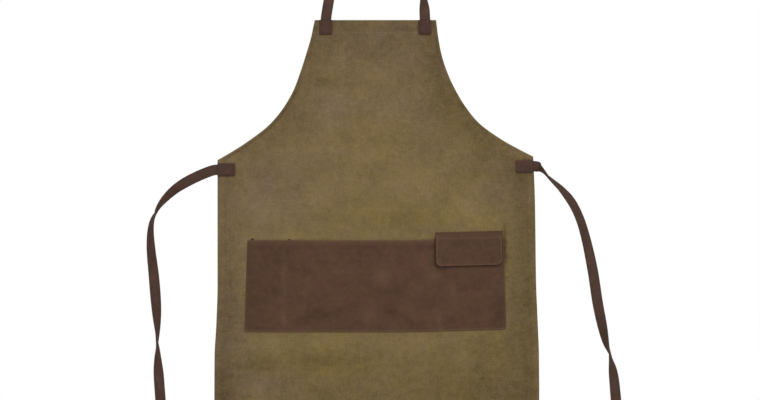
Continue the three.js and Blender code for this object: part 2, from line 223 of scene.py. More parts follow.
# Depth of the hanging cloth's middle surface: both edges curl back as the square of the distance past
# where the curl starts, and folds and wrinkles come forward as soft bell curves
def hang(x, drop):
    across, down = x / cloth["waist"], drop / cloth["length"]
    forward = softSpots(wrinkles, x, drop)
    for at, half, starts, full, fades, depth in folds:
        strength = rise(starts, full, down) * (1 - rise(full, fades, down))
        forward = forward + cloth["foldDepth"] * depth * strength * np.exp(-(((across - at) / half) ** 2) / 2)
    edge = np.maximum(np.abs(across) - cloth["curlStart"], 0) / (0.5 - cloth["curlStart"])
    side = np.where(x < 0, cloth["leftCurl"], 1)
    grown = cloth["waistCurl"] + (1 - cloth["waistCurl"]) * rise(cloth["curlFall"], 1, down)
    return cloth["curl"] * side * grown * edge * edge - forward


# Point at a distance in front of the cloth's middle surface
def onCloth(x, drop, ahead):
    x, drop, ahead = np.broadcast_arrays(x, drop, ahead)
    return np.stack([x, hang(x, drop) - ahead, -cloth["neckDrop"] - drop], axis=-1)


# Distances from an edge that follow a quarter round of a radius, then steps up to a reach
def edgeSteps(radius, reach, step):
    quarter = radius * (1 - np.cos(np.radians([0, 22, 44, 66, 90])))
    rest = np.linspace(radius, reach, max(int((reach - radius) / step), 1) + 1)[1:]
    return np.concatenate([quarter, rest])


# Positions from 0 to a width: fine steps at both ends, even ones between
def bothEdges(width, radius, step):
    near = edgeSteps(radius, min(radius * 3, width / 2.2), step)
    middle = np.linspace(near[-1], width - near[-1], max(int((width - 2 * near[-1]) / step), 1) + 1)
    return np.concatenate([near, middle[1:-1], (width - near)[::-1]])


# Height of a quarter round: 0 at the edge, 1 from a radius inwards
def roundEdge(distance, radius):
    t = np.clip(distance / radius, 0, 1)
    return np.sqrt(np.clip(1 - (1 - t) ** 2, 0, 1))


# Puts vertices (mm) and quads into a new mesh object; faces are turned outwards by the sign of the volume
def makeMesh(name, points, quads, values, material):
    points = np.asarray(points, np.float64).reshape(-1, 3)
    a, b, c, d = (points[quads[:, k]] for k in range(4))
    if (a * (np.cross(b, c) + np.cross(c, d))).sum() < 0:
        quads = quads[:, ::-1]
    mesh = bpy.data.meshes.new(name)
    mesh.vertices.add(len(points))
    mesh.vertices.foreach_set("co", (points * 0.001).astype(np.float32).ravel())
    mesh.loops.add(quads.size)
    mesh.loops.foreach_set("vertex_index", np.ascontiguousarray(quads, dtype=np.int32).ravel())
    mesh.polygons.add(len(quads))
    mesh.polygons.foreach_set("loop_start", np.arange(0, quads.size, 4, dtype=np.int32))
    mesh.polygons.foreach_set("use_smooth", np.ones(len(quads), dtype=bool))
    mesh.update(calc_edges=True)
    mesh.validate()
    for key, value in values.items():
        attribute = mesh.attributes.new(key, "FLOAT", "POINT")
        attribute.data.foreach_set("value", np.asarray(value, np.float32).ravel())
    piece = bpy.data.objects.new(name, mesh)
    bpy.context.scene.collection.objects.link(piece)
    mesh.materials.append(material)
    return piece


# Quads of a grid of vertex numbers; a closed one joins its last column to its first
def gridQuads(index, closed=False):
    if closed:
        index = np.concatenate([index, index[:, :1]], axis=1)
    return np.stack([index[:-1, :-1], index[1:, :-1], index[1:, 1:], index[:-1, 1:]], axis=-1).reshape(-1, 4)


# A closed sheet from a front and a back grid that meet along their rim. A value is one grid for both
# sides or a pair of grids, the front's and the back's
def makeSheet(name, front, back, values, material):
    rows, columns = front.shape[:2]
    index = np.arange(rows * columns).reshape(rows, columns)
    behind = index.copy()
    inner = (rows - 2) * (columns - 2)
    behind[1:-1, 1:-1] = rows * columns + np.arange(inner).reshape(rows - 2, columns - 2)
    points = np.concatenate([front.reshape(-1, 3), back[1:-1, 1:-1].reshape(-1, 3)])
    quads = np.concatenate([gridQuads(index), gridQuads(behind)[:, ::-1]])
    joined = {}
    for key, value in values.items():
        ahead, rear = value if isinstance(value, tuple) else (value, value)
        ahead, rear = (np.broadcast_to(side, (rows, columns)) for side in (ahead, rear))
        joined[key] = np.concatenate([ahead.ravel(), rear[1:-1, 1:-1].ravel()])
    return makeMesh(name, points, quads, joined, material)


# Hands a finished piece to the frame
def finishPiece(piece, slot, *nodes):
    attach(piece, "root")
    if nodes:
        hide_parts(*nodes)
    return piece


# Linear colour of an sRGB hex value, by the standard's curve: straight near black, a power above
def hexColour(code):
    parts = np.array([int(code[i:i + 2], 16) / 255 for i in (0, 2, 4)])
    linear = np.where(parts <= 0.04045, parts / 12.92, ((parts + 0.055) / 1.055) ** 2.4)
    return (*linear, 1)


# Adds one node: settings are its own properties, inputs its sockets with a value or another node's output
def addNode(tree, kind, inputs=None, **settings):
    node = tree.nodes.new(kind)
    for key, value in settings.items():
        setattr(node, key, value)
    for key, value in (inputs or {}).items():
        if isinstance(value, bpy.types.NodeSocket):
            tree.links.new(value, node.inputs[key])
        else:
            node.inputs[key].default_value = value
    return node


# A new material with its surface settings: its tree, its shader, the piece's own coordinates in metres,
# and the named values that the mesh carries
def startMaterial(name, surface, *names):
    material = bpy.data.materials.new(name)
    material.use_nodes = True
    tree = material.node_tree
    shader = tree.nodes["Principled BSDF"]
    for key, value in surface.items():
        shader.inputs[key].default_value = value
    place = addNode(tree, "ShaderNodeTexCoord").outputs["Object"]
    values = [addNode(tree, "ShaderNodeAttribute", attribute_name=key).outputs["Fac"] for key in names]
    return material, tree, shader, place, values


# Cloudy patterns centred on 0, each with its amount: a row is the size of its features along X, Y and Z
# (mm), the amount, the detail and a shift that sets it apart from the others
def clouds(tree, place, rows):
    made = []
    for sizes, amount, detail, shift in rows:
        inputs = {"Vector": place, "Scale": tuple(1000 / size for size in sizes), "Location": (shift,) * 3}
        mapped = addNode(tree, "ShaderNodeMapping", inputs)
        inputs = {"Vector": mapped.outputs[0], "Scale": 1, "Detail": detail}
        noise = addNode(tree, "ShaderNodeTexNoise", inputs)
        centred = addNode(tree, "ShaderNodeMath", {0: noise.outputs[0], 1: -0.5}, operation="ADD")
        made.append((centred.outputs[0], amount))
    return made


# Weighted sum of values: each part is a node's output with its weight, on top of a start value
def addUp(tree, start, parts):
    total = start
    for source, weight in parts:
        inputs = {0: source, 1: weight, 2: total}
        total = addNode(tree, "ShaderNodeMath", inputs, operation="MULTIPLY_ADD").outputs[0]
    return total


# The same bell curve as peak, of a node's output
def bell(tree, value, centre, width):
    steps = [("ADD", -centre), ("DIVIDE", width), ("POWER", 2), ("MULTIPLY", -1), ("EXPONENT", 0)]
    for operation, by in steps:
        value = addNode(tree, "ShaderNodeMath", {0: value, 1: by}, operation=operation).outputs[0]
    return value


# Colour between a dark and a light one
def blendColours(tree, amount, dark, light):
    inputs = {0: amount, 6: dark, 7: light}
    return addNode(tree, "ShaderNodeMix", inputs, data_type="RGBA").outputs[2]


# Patterns are rows for clouds. The painted shade and light beside the stitch lines are given as distance from
# the stitch line (mm, minus is outwards), width (mm) and strength
canvasLook = {
    "oliveDark": hexColour("4d3f1f"),
    "oliveLight": hexColour("9b854f"),
    "brownDark": hexColour("4c3d28"),
    "brownLight": hexColour("967f62"),
    "brownShare": 0.42,
    "surface": {"Roughness": 0.88, "IOR": 1.45, "Specular IOR Level": 0.25, "Sheen Weight": 0.06,
                "Sheen Roughness": 0.5},
    "weave": [((3.1, 3.1, 3.1), 0.37, 2, 3.1), ((2.6, 9, 11), 0.185, 1, 7.7), ((11, 9, 2.6), 0.185, 1, 1.3)],
    "wax": [((14, 14, 12), 0.3, 2, 5.9), ((56, 56, 44), 0.3, 2, 9.2)],
    "hue": [((24, 24, 22), 1, 2, 12.4), ((5, 5, 5), 0.4, 1, 15.8)],
    "sidePaintedShade": (-1.9, 2.5),
    "paintedEndLightAndShade": [(0.9, 1.1, 0.09), (-1.2, 1.2, -0.02)],
    "relief": 1.1,  # height of the weave's pattern against a stitch line's dip
}


# Waxed cotton canvas, plain woven and rubbed with wax: the eye sees a dull olive with cloudy darker and
# browner areas where the wax is thicker, and short slubs along warp and weft. Real threads are 0.5 mm
# apart, too fine to show, so the slubs are drawn about 2.6 mm wide and 11 mm long.
def waxedCanvas(name, shadeStart):
    names = ("tone", "warmth", "sideSeam", "endSeam", "seamPaintedShade")
    material, tree, shader, place, values = startMaterial(name, canvasLook["surface"], *names)
    tone, warmth, side, end, seamPaintedShade = values
    weave = clouds(tree, place, canvasLook["weave"])
    wax = clouds(tree, place, canvasLook["wax"])
    # Painted shade in the rolled hem just outside each side seam's stitch line, scaled by the mesh's seam
    # shade value
    atSeam = bell(tree, side, *canvasLook["sidePaintedShade"])
    dark = addNode(tree, "ShaderNodeMath", {0: atSeam, 1: seamPaintedShade}, operation="MULTIPLY").outputs[0]
    # A painted highlight just inside the top and bottom hems' stitch lines, and faint painted shade just
    # outside them
    paintedEndLightAndShade = [(bell(tree, end, at, width), weight) for at, width, weight in canvasLook["paintedEndLightAndShade"]]
    shade = addUp(tree, shadeStart, [(tone, 1), (dark, -1), *paintedEndLightAndShade, *weave, *wax])
    hue = addUp(tree, canvasLook["brownShare"], [(warmth, 1), *clouds(tree, place, canvasLook["hue"])])
    inLimits = addNode(tree, "ShaderNodeClamp", {"Value": hue}).outputs[0]
    olive = blendColours(tree, shade, canvasLook["oliveDark"], canvasLook["oliveLight"])
    brown = blendColours(tree, shade, canvasLook["brownDark"], canvasLook["brownLight"])
    tree.links.new(blendColours(tree, inLimits, olive, brown), shader.inputs["Base Color"])
    # The cloth dips where it is stitched and swells a little between the stitch line and the edge
    dips = addUp(tree, 0.0, [
        (bell(tree, side, 0, 0.9), -1),
        (bell(tree, end, 0, 0.9), -1),
        (bell(tree, side, -6.6, 3.6), 0.6),
        (bell(tree, end, -9, 6), 0.4),
        *[(source, canvasLook["relief"]) for source, _ in weave],
    ])
    bump = addNode(tree, "ShaderNodeBump", {"Strength": 0.55, "Distance": 0.0006, "Height": dips})
    tree.links.new(bump.outputs[0], shader.inputs["Normal"])
    return material


leatherLook = {
    "pocketDark": hexColour("32190c"),
    "pocketLight": hexColour("6b503b"),
    "strapDark": hexColour("29150b"),
    "strapLight": hexColour("5f4a3d"),
    "redDark": hexColour("2f170f"),
    "redLight": hexColour("734a3f"),
    "shade": 0.48,
    "roughness": 0.66,
    "surface": {"IOR": 1.5, "Specular IOR Level": 0.2},
    "grain": [((5.5, 5.5, 5.5), 0.23, 2, 2.3), ((12, 12, 11), 0.36, 2, 4.9)],
    "broad": [((38, 38, 30), 0.28, 3, 8.8)],
    "red": [((20, 20, 20), 3, 2, 13.1), ((7, 7, 7), 0.5, 1, 17.4)],
    "relief": 0.9,  # height of the grain against a stitch line's dip
    "seamDip": 0.7,  # width of the dip along a stitch line (mm)
    "glossChange": 0.25,
}


# Pull-up leather, waxed cowhide with an open grain: dark brown that goes paler where it is bent, rubbed
# or scuffed, with a soft low gloss. Its pores are 0.2 mm and too fine to show; the pebble is drawn 5.5 mm.
def pullUpLeather(name, kind, redStart):
    surface = leatherLook["surface"]
    material, tree, shader, place, (tone, seam) = startMaterial(name, surface, "tone", "seam")
    grain = clouds(tree, place, leatherLook["grain"])
    broad = clouds(tree, place, leatherLook["broad"])
    shade = addUp(tree, leatherLook["shade"], [(tone, 1), *grain, *broad])
    red = addUp(tree, redStart, clouds(tree, place, leatherLook["red"]))
    redPart = addNode(tree, "ShaderNodeClamp", {"Value": red}).outputs[0]
    brown = blendColours(tree, shade, leatherLook[kind + "Dark"], leatherLook[kind + "Light"])
    reddish = blendColours(tree, shade, leatherLook["redDark"], leatherLook["redLight"])
    tree.links.new(blendColours(tree, redPart, brown, reddish), shader.inputs["Base Color"])
    pebble = [(source, leatherLook["relief"]) for source, _ in grain]
    height = addUp(tree, 0.0, [(bell(tree, seam, 0, leatherLook["seamDip"]), -1), *pebble])
    bump = addNode(tree, "ShaderNodeBump", {"Strength": 0.5, "Distance": 0.0005, "Height": height})
    tree.links.new(bump.outputs[0], shader.inputs["Normal"])
    gloss = addUp(tree, leatherLook["roughness"], [(grain[1][0], leatherLook["glossChange"])])
    tree.links.new(gloss, shader.inputs["Roughness"])
    return material


# Bonded polyester thread, twisted and dyed to go with what it sews: a low soft shine, with a slow change
# between 0.7 and 1.3 times its colour
def sewingThread(name, colour):
    material, tree, shader, place, _ = startMaterial(name, {"Roughness": 0.6})
    shade = addUp(tree, 0.5, clouds(tree, place, [((3, 3, 3), 1.2, 1, 6.6)]))
    dark, light = (tuple(part * value for value in colour[:3]) + (1,) for part in (0.7, 1.3))
    tree.links.new(blendColours(tree, shade, dark, light), shader.inputs["Base Color"])
    return material


canvasMaterial = waxedCanvas("waxed cotton canvas, plain woven", 0.46)
hemMaterial = waxedCanvas("waxed cotton canvas, turned hem", 0.44)
pocketMaterial = pullUpLeather("pull-up cowhide, waxed", "pocket", 0.0)
strapMaterial = pullUpLeather("folded strap leather, waxed", "strap", 0.1)
canvasThread = sewingThread("polyester thread, olive brown", hexColour("6b5a3c"))
leatherThread = sewingThread("polyester thread, dark brown", hexColour("563d2e"))
tackThread = sewingThread("polyester thread, black brown", hexColour("4d3a2c"))
print("materials made")

# Wax smudges and rubbed patches, with broad painted shade that darkens the side edges and the lower skirt:
# across, down (mm), half length, half width (mm), lean (degrees), tone
waxAndPaintedShade = [
    (10, 42, 95, 36, 0, -0.17), (-90, 36, 24, 24, 0, -0.04), (112, 104, 14, 40, -10, -0.1),
    (78, 114, 22, 14, 0, -0.06), (148, 158, 24, 30, 0, -0.08), (-150, 160, 20, 26, 0, -0.06),
    (-100, 118, 44, 7, 4, -0.09), (-86, 165, 28, 20, 0, 0.01), (38, 168, 40, 18, 0, -0.02),
    (90, 170, 20, 20, 0, -0.11), (46, 218, 50, 10, 0, -0.07), (-50, 226, 46, 9, 0, -0.03),
    (-10, 256, 44, 12, 6, 0.09), (116, 256, 22, 20, 0, -0.06), (214, 234, 58, 17, 38, -0.19),
    (196, 268, 44, 20, 16, -0.09), (138, 320, 30, 24, 0, -0.05), (-208, 234, 60, 15, -38, -0.12),
    (-190, 294, 34, 24, 0, -0.04), (88, 312, 34, 22, 0, 0.08), (164, 360, 26, 20, 0, 0.13),
    (-105, 341, 30, 22, 0, 0.07), (-219, 360, 32, 20, 0, 0.05), (-64, 378, 34, 9, 0, -0.08),
    (48, 380, 40, 9, 0, -0.05), (250, 316, 30, 26, 0, -0.08), (-256, 296, 16, 14, 0, 0.07),
    (-14, 372, 16, 18, 0, 0.07), (296, 470, 26, 170, 0, -0.13), (283, 532, 16, 30, 0, -0.06),
    (-294, 530, 26, 150, 0, -0.1), (-282, 528, 16, 36, 0, -0.05), (-250, 640, 40, 60, 0, -0.05),
    (-219, 616, 24, 9, 0, 0.12), (-219, 654, 26, 9, 0, -0.17), (-86, 616, 30, 9, 0, 0.06),
    (-104, 644, 30, 10, 6, -0.12), (40, 690, 230, 46, 0, -0.09), (210, 672, 60, 56, 0, -0.16),
    (92, 612, 44, 10, 0, 0.08), (18, 652, 24, 14, 0, 0.03), (-200, 692, 30, 14, 0, 0.05),
    (-294, 702, 14, 40, 0, -0.15), (158, 672, 44, 24, 0, 0.06), (-282, 656, 22, 11, 0, 0.07),
    (141, 712, 40, 14, 0, -0.05), (-60, 716, 60, 16, 0, -0.05), (-262, 718, 22, 9, 0, -0.09),
    (266, 716, 26, 10, 0, -0.1), (266, 368, 18, 40, 0, -0.06), (292, 332, 6, 20, 0, 0.1),
    (-292, 622, 12, 26, 0, 0.07), (168, 642, 16, 14, 0, 0.07),
]

# Painted shadows on the canvas beside the right ends of the flap and of the pocket, which show on the front
# only, with the same columns
pocketPaintedShadows = [(245, 434, 2.8, 30, 0, -0.42), (259, 530, 9, 55, 0, -0.09)]

# Where the cloth looks browner (+) or more olive (-), with the same columns
tints = [
    (0, 40, 110, 40, 0, 0.45), (-86, 165, 40, 22, 0, 0.6), (66, 80, 40, 20, 0, 0.2),
    (90, 160, 30, 30, 0, 0.2), (37, 171, 26, 22, 0, 0.4), (103, 218, 30, 24, 0, 0.3),
    (179, 303, 26, 20, 0, -0.2), (-219, 360, 24, 20, 0, 0.1), (-120, 250, 50, 40, 0, 0.15),
    (60, 210, 90, 24, 0, -0.2), (-200, 330, 60, 50, 0, 0.45), (240, 315, 50, 36, 0, 0.35),
    (60, 372, 120, 18, 0, -0.3), (-290, 480, 34, 160, 0, 0.3), (290, 540, 26, 120, 0, 0.15),
    (230, 430, 24, 60, 0, -0.2), (-200, 690, 34, 18, 0, 0.6), (-270, 620, 30, 60, 0, 0.3),
    (-110, 646, 50, 22, 0, -0.35), (232, 630, 40, 24, 0, -0.25), (40, 670, 120, 40, 0, -0.1),
    (141, 710, 30, 20, 0, -0.25), (-219, 652, 24, 12, 0, -0.3), (284, 535, 14, 30, 0, -0.2),
]


# Darker bands along the armholes, the skirt's sides and the top hem, painted shade in the rolled hem beside
# the stitch lines, and a painted light band along the pocket's mouth: strength and width (mm) of each, and
# the two places between which it comes or goes (mm across or down)
canvasTone = {
    "armhole": 0.14,
    "armholeWidth": 42,
    "armholeGoes": (160, 250),
    "side": 0.055,
    "sideAt": 8,  # from the stitch line into the cloth
    "sideWidth": 15,
    "sideComes": (268, 290),
    "topHem": 0.07,
    "topHemGoes": (19, 23),
    # painted light band along the pocket's mouth
    "mouth": 0.2,
    "mouthWidth": 9,
    "mouthLift": (80, 315),
    "mouthComes": (-262, -240),
    "mouthGoes": (92, 116),
    # painted shade in the rolled hem beside the stitch lines
    "seam": 0.03,
    "leftSeam": 0.15,  # more along the left armhole
    "leftSeamAcross": (-70, -30),
    "leftSeamComes": (100, 140),
    "leftSeamGoes": (255, 275),
    "reach": 20,  # distances from stitch lines are kept within this
}


# The canvas edge on one side, as a fine line of points with the direction into the canvas:
# each point is halfWidth out at its level, and inward is a quarter turn from the way along
def canvasEdge(side, first, last, count=400):
    level = np.linspace(first, last, count)
    x, drop = canvasPoint(0.0 if side < 0 else 1.0, level)
    line = np.stack([x, drop], axis=-1)
    along = unit(np.gradient(line, axis=0))
    inward = np.stack([-side * along[:, 1], side * along[:, 0]], axis=-1)
    return line, inward, lengthAlong(line)


edges = {
    (side, part): canvasEdge(side, start, start + 1)
    for side in (-1, 1) for start, part in enumerate(("armhole", "side"))
}


# Distance of each point from the nearest side edge, less the distance of that edge's stitch line. Only
# points between 75 and 335 mm out are measured, block by block, and the others count as far away
def fromSideSeam(x, drop):
    flat = np.stack([x.ravel(), drop.ravel()], axis=-1)
    best = np.full(len(flat), 99.0)
    for (side, part), (line, _, _) in edges.items():
        near = np.where(np.abs(flat[:, 0] - side * 205) < 130)[0]
        for block in np.array_split(near, 24):
            away = flat[block, None, :] - line[None, ::2, :]
            distance = np.sqrt((away ** 2).sum(axis=2).min(axis=1))
            best[block] = np.minimum(best[block], distance - (hems[part] - hems["inset"]))
    return best.reshape(x.shape)


# The canvas: rows from top edge to hem and columns from edge to edge, the front rolled back over a
# quarter round at every edge, where it meets the turned hem behind
def makeCanvas():
    radius = hems["roll"]
    bibLength, skirtLength = cloth["bibDepth"], cloth["length"] - cloth["bibDepth"]
    top = edgeSteps(radius, bibLength, cloth["bibStep"]) / bibLength
    bottom = 2 - (edgeSteps(radius, skirtLength, cloth["skirtStep"]) / skirtLength)[::-1]
    level = np.concatenate([top, bottom[1:]])[:, None]
    width = halfWidth(level, -1) + halfWidth(level, 1)
    left = edgeSteps(radius, cloth["edgeBand"], cloth["edgeStep"]) / width
    middle = np.linspace(0, 1, cloth["columns"])[1:-1]
    inner = left[:, -1:] + (1 - 2 * left[:, -1:]) * middle
    across = np.concatenate([left, inner, 1 - left[:, ::-1]], axis=1)
    x, drop = canvasPoint(across, level)
    slope = np.gradient(np.stack([x[:, 0], x[:, -1]], axis=1), drop[:, x.shape[1] // 2], axis=0)
    lean = 1 / np.sqrt(1 + slope ** 2)
    fromLeft = (x - x[:, :1]) * lean[:, :1]
    fromRight = (x[:, -1:] - x) * lean[:, 1:]
    inside = np.minimum(np.minimum(fromLeft, fromRight), np.minimum(drop, cloth["length"] - drop))
    half = cloth["wall"] / 2
    frontAhead = -half + cloth["wall"] * roundEdge(inside, radius)
    fromSeam = fromSideSeam(x, drop)
    fromTop = drop - (hems["top"] - hems["inset"])
    fromBottom = cloth["length"] - drop - (hems["bottom"] - hems["inset"])
    endSeam = np.where(np.abs(fromTop) < np.abs(fromBottom), fromTop, fromBottom)
    look = canvasTone
    toEdge = np.maximum(fromSeam + hems["armhole"] - hems["inset"], 0)
    alongArm = peak(toEdge, 0, look["armholeWidth"]) * (1 - rise(*look["armholeGoes"], drop))
    alongSkirt = peak(fromSeam, look["sideAt"], look["sideWidth"]) * rise(*look["sideComes"], drop)
    onHem = 1 - rise(*look["topHemGoes"], drop)
    # Wax smudges with broad painted shade, then darker bands along the armholes, the skirt's sides and the
    # top hem
    tone = softSpots(waxAndPaintedShade, x, drop)
    tone = tone - look["armhole"] * alongArm - look["side"] * alongSkirt - look["topHem"] * onHem
    mouthLine = pocket["drop"] - pocket["lift"] * rise(*look["mouthLift"], x)
    mouthPaintedLightSpan = rise(*look["mouthComes"], x) * (1 - rise(*look["mouthGoes"], x))
    # Front only: painted shadows beside the pocket, and a painted light band along the pocket's mouth
    frontToneAndPaintedLight = tone + softSpots(pocketPaintedShadows, x, drop)
    frontToneAndPaintedLight = frontToneAndPaintedLight + look["mouth"] * mouthPaintedLightSpan * peak(drop, mouthLine, look["mouthWidth"])
    # Strength of the painted shade beside the stitch lines, more along the left armhole
    leftArm = (1 - rise(*look["leftSeamAcross"], x)) * rise(*look["leftSeamComes"], drop)
    leftArm = leftArm * (1 - rise(*look["leftSeamGoes"], drop))
    values = {
        "tone": (frontToneAndPaintedLight, tone),
        "warmth": softSpots(tints, x, drop),
        "sideSeam": np.clip(fromSeam, -look["reach"], look["reach"]),
        "endSeam": np.clip(endSeam, -look["reach"], look["reach"]),
        "seamPaintedShade": look["seam"] + look["leftSeam"] * leftArm,
    }
    front, back = onCloth(x, drop, frontAhead), onCloth(x, drop, -half)
    return makeSheet("canvas_cloth", front, back, values, canvasMaterial)


canvasCloth = finishPiece(makeCanvas(), "canvas", "apron_body")
print("canvas made")


# A flat piece on the cloth: its middle surface lies ahead of the canvas's, its front and back half a wall
# from it times edge, which rounds its rim, and extra is added to the front's half before that
def makeLayer(name, x, drop, ahead, wall, extra, edge, values, material, place=onCloth):
    front = place(x, drop, ahead + (wall / 2 + extra) * edge)
    back = place(x, drop, ahead - wall / 2 * edge)
    return makeSheet(name, front, back, values, material)


# A turned hem: a second layer behind the canvas between an outer and an inner line, its outer edge
# rolled forward to meet the canvas and its inner edge a small fold
def makeHem(name, outer, inner, depth, node):
    ends = lengthAlong((outer + inner) / 2)
    fold = hems["fold"]
    lastSteps = 1 - np.array([0.36, 0.096, 0]) / depth  # round the fold
    share = np.concatenate([edgeSteps(hems["roll"], depth - fold, 1.4) / depth, lastSteps])[None, :]
    x = outer[:, :1] + (inner[:, :1] - outer[:, :1]) * share
    drop = outer[:, 1:] + (inner[:, 1:] - outer[:, 1:]) * share
    toOuter, toInner = share * depth, (1 - share) * depth
    toEnd = np.minimum(ends, ends[-1] - ends)[:, None]
    thick = roundEdge(toOuter, hems["roll"]) * roundEdge(toInner, fold) * roundEdge(toEnd, fold)
    dent = hems["dent"] * peak(toInner, hems["inset"], hems["dentWidth"]) * roundEdge(toEnd, 3)
    start = cloth["wall"] / 2 + cloth["room"]
    front = onCloth(x, drop, -start)
    back = onCloth(x, drop, -start - (hems["wall"] - dent) * thick)
    values = {
        "tone": 0.0,
        "warmth": 0.1,
        "sideSeam": toInner - hems["inset"],
        "endSeam": canvasTone["reach"],
        "seamPaintedShade": 0.05,
    }
    return finishPiece(makeSheet(name, front, back, values, hemMaterial), "canvas_hem", node)


# Rows along a hem, 4.5 mm apart with finer steps at both ends
def rowsAlong(length):
    return bothEdges(length, hems["fold"], 4.5)


# From the waist corner to where the inner edges of the armhole and side hems meet
def hemMitre(side):
    above, below = edges[side, "armhole"][1][-1], edges[side, "side"][1][0]
    shared = above @ below
    a = (hems["armhole"] - shared * hems["side"]) / (1 - shared * shared)
    b = (hems["side"] - shared * hems["armhole"]) / (1 - shared * shared)
    return a * above + b * below


# A hem along one side edge, its inner line a hem's depth into the canvas; near the waist corner that line
# swings to the mitre by a smooth step
def makeSideHem(side, part):
    line, inward, length = edges[side, part]
    room = cloth["room"]
    if part == "armhole":
        start, finish = np.interp(hems["top"] + room, line[:, 1], length), length[-1] - room
    else:
        start, finish = room, np.interp(cloth["length"] - hems["bottom"] - 2 * room, line[:, 1], length)
    at = start + rowsAlong(finish - start)
    outer = lineAt(line, length, at)
    inner = outer + lineAt(inward, length, at) * hems[part]
    corner = line[-1] if part == "armhole" else line[0]
    meet = corner + hemMitre(side)
    toCorner = np.linalg.norm(outer - corner, axis=1)
    swing = rise(hems["mitre"], 0, toCorner)[:, None]
    inner = inner * (1 - swing) + (meet + (outer - corner)) * swing
    node = part + ("_hem_left" if side < 0 else "_hem_right")
    return makeHem("canvas_" + node, outer, inner, hems[part], node)


# The straight hems along the bib's top edge (level 0) and along the bottom (level 2)
def makeEndHem(name, level, depth, node):
    width = float(halfWidth(np.array(level), -1) + halfWidth(np.array(level), 1))
    across = rowsAlong(width) / width
    drop, inward = (0.0, depth) if level == 0 else (cloth["length"], -depth)
    innerLevel = depth / cloth["bibDepth"] if level == 0 else level
    outer, inner = (
        np.stack([canvasPoint(across, np.array(float(at)))[0], np.full(len(across), down)], axis=-1)
        for at, down in ((level, drop), (innerLevel, drop + inward))
    )
    return makeHem(name, outer, inner, depth, node)


hemPieces = [
    makeEndHem("canvas_top_hem", 0, hems["top"], "bib_top_hem"),
    makeEndHem("canvas_bottom_hem", 2, hems["bottom"], "bottom_hem"),
    *[makeSideHem(side, part) for part in ("armhole", "side") for side in (-1, 1)],
]
print("hems made")

straps = {
    "width": 20,
    "wall": 2.4,
    "edge": 1.1,  # radius of a folded edge
    "seam": 2.8,  # from the edge to the stitch line
    "groove": 0.22,  # depth of the stitch lines' dents, and of the line along the middle times 0.6
    "grooveWidth": 0.6,
    "crown": 0.4,  # padding of a strap outside its patches
    "cup": 2.6,  # how far a strap bows across its width where it is seen edge on
    "neckRadius": 62,
    "bow": 7,  # how far the right run bows out
    "tieLength": 800,
    "step": 3.2,  # from row to row of the mesh
    "acrossStep": 0.55,
}

patches = {
    "wall": 1.6,
    "across": 24.8,
    "flange": 1,  # lies on the canvas round the raised middle
    "ramp": 1,
    "neckHeight": 28,
    "neckInset": 8.8,
    "waistLength": 34,
    "waistDrop": 6,
    "corner": 3.5,
    "endRoom": 1,  # between a strap's end and the ramp
    "seam": 2.6,
    "edge": 0.8,
    "dent": 0.28,
    "open": 1e3,  # stands for a side with no edge
}

# Neck strap's twist: share of its length from the left end, share of a quarter turn
neckTwist = [(0, 0), (0.1, 0), (0.32, 1), (0.72, 1), (0.8, 0.96), (0.9, 0.55), (0.95, 0), (1, 0)]

# Ties from the canvas edge: out, down and forward as shares of the length, then whole turns
leftTie = [
    (0, 0, 0, 0), (0.009, 0.001, 0, 0), (0.031, 0.009, 0.003, 0.01), (0.063, 0.024, 0.006, 0.03),
    (0.094, 0.043, 0.008, 0.09), (0.119, 0.066, 0.008, 0.15), (0.137, 0.09, 0.008, 0.22),
    (0.149, 0.115, 0.008, 0.315), (0.154, 0.14, 0.007, 0.36), (0.154, 0.18, 0.006, 0.415),
    (0.147, 0.25, 0.005, 0.49), (0.141, 0.33, 0.005, 0.605), (0.139, 0.4, 0.006, 0.765),
    (0.138, 0.44, 0.006, 0.88), (0.135, 0.49, 0.006, 0.985), (0.131, 0.55, 0.005, 1),
    (0.127, 0.68, 0.004, 1.04), (0.125, 0.9, 0.004, 1.1),
]
rightTie = [
    (0, 0, 0, 0), (0.008, 0.0005, 0.0005, 0), (0.016, 0.0055, 0.004, 0.175), (0.026, 0.0155, 0.007, 0.235),
    (0.043, 0.034, 0.008, 0.3), (0.064, 0.0535, 0.008, 0.35), (0.088, 0.0825, 0.007, 0.405),
    (0.107, 0.12, 0.006, 0.41), (0.1225, 0.17, 0.005, 0.43), (0.1385, 0.245, 0.004, 0.49),
    (0.15, 0.32, 0.004, 0.53), (0.16, 0.37, 0.004, 0.585), (0.169, 0.41, 0.005, 0.67),
    (0.1795, 0.445, 0.005, 0.79), (0.187, 0.49, 0.005, 0.94), (0.193, 0.55, 0.004, 1),
    (0.208, 0.72, 0.004, 1.03), (0.222, 0.93, 0.004, 1.1),
]

seat = cloth["wall"] / 2 + cloth["room"]
strapAhead = seat + straps["wall"] / 2
patchX = cloth["bibTop"] / 2 - patches["neckInset"] - patches["across"] / 2
tuckRoom = patches["flange"] + patches["ramp"] + patches["endRoom"]


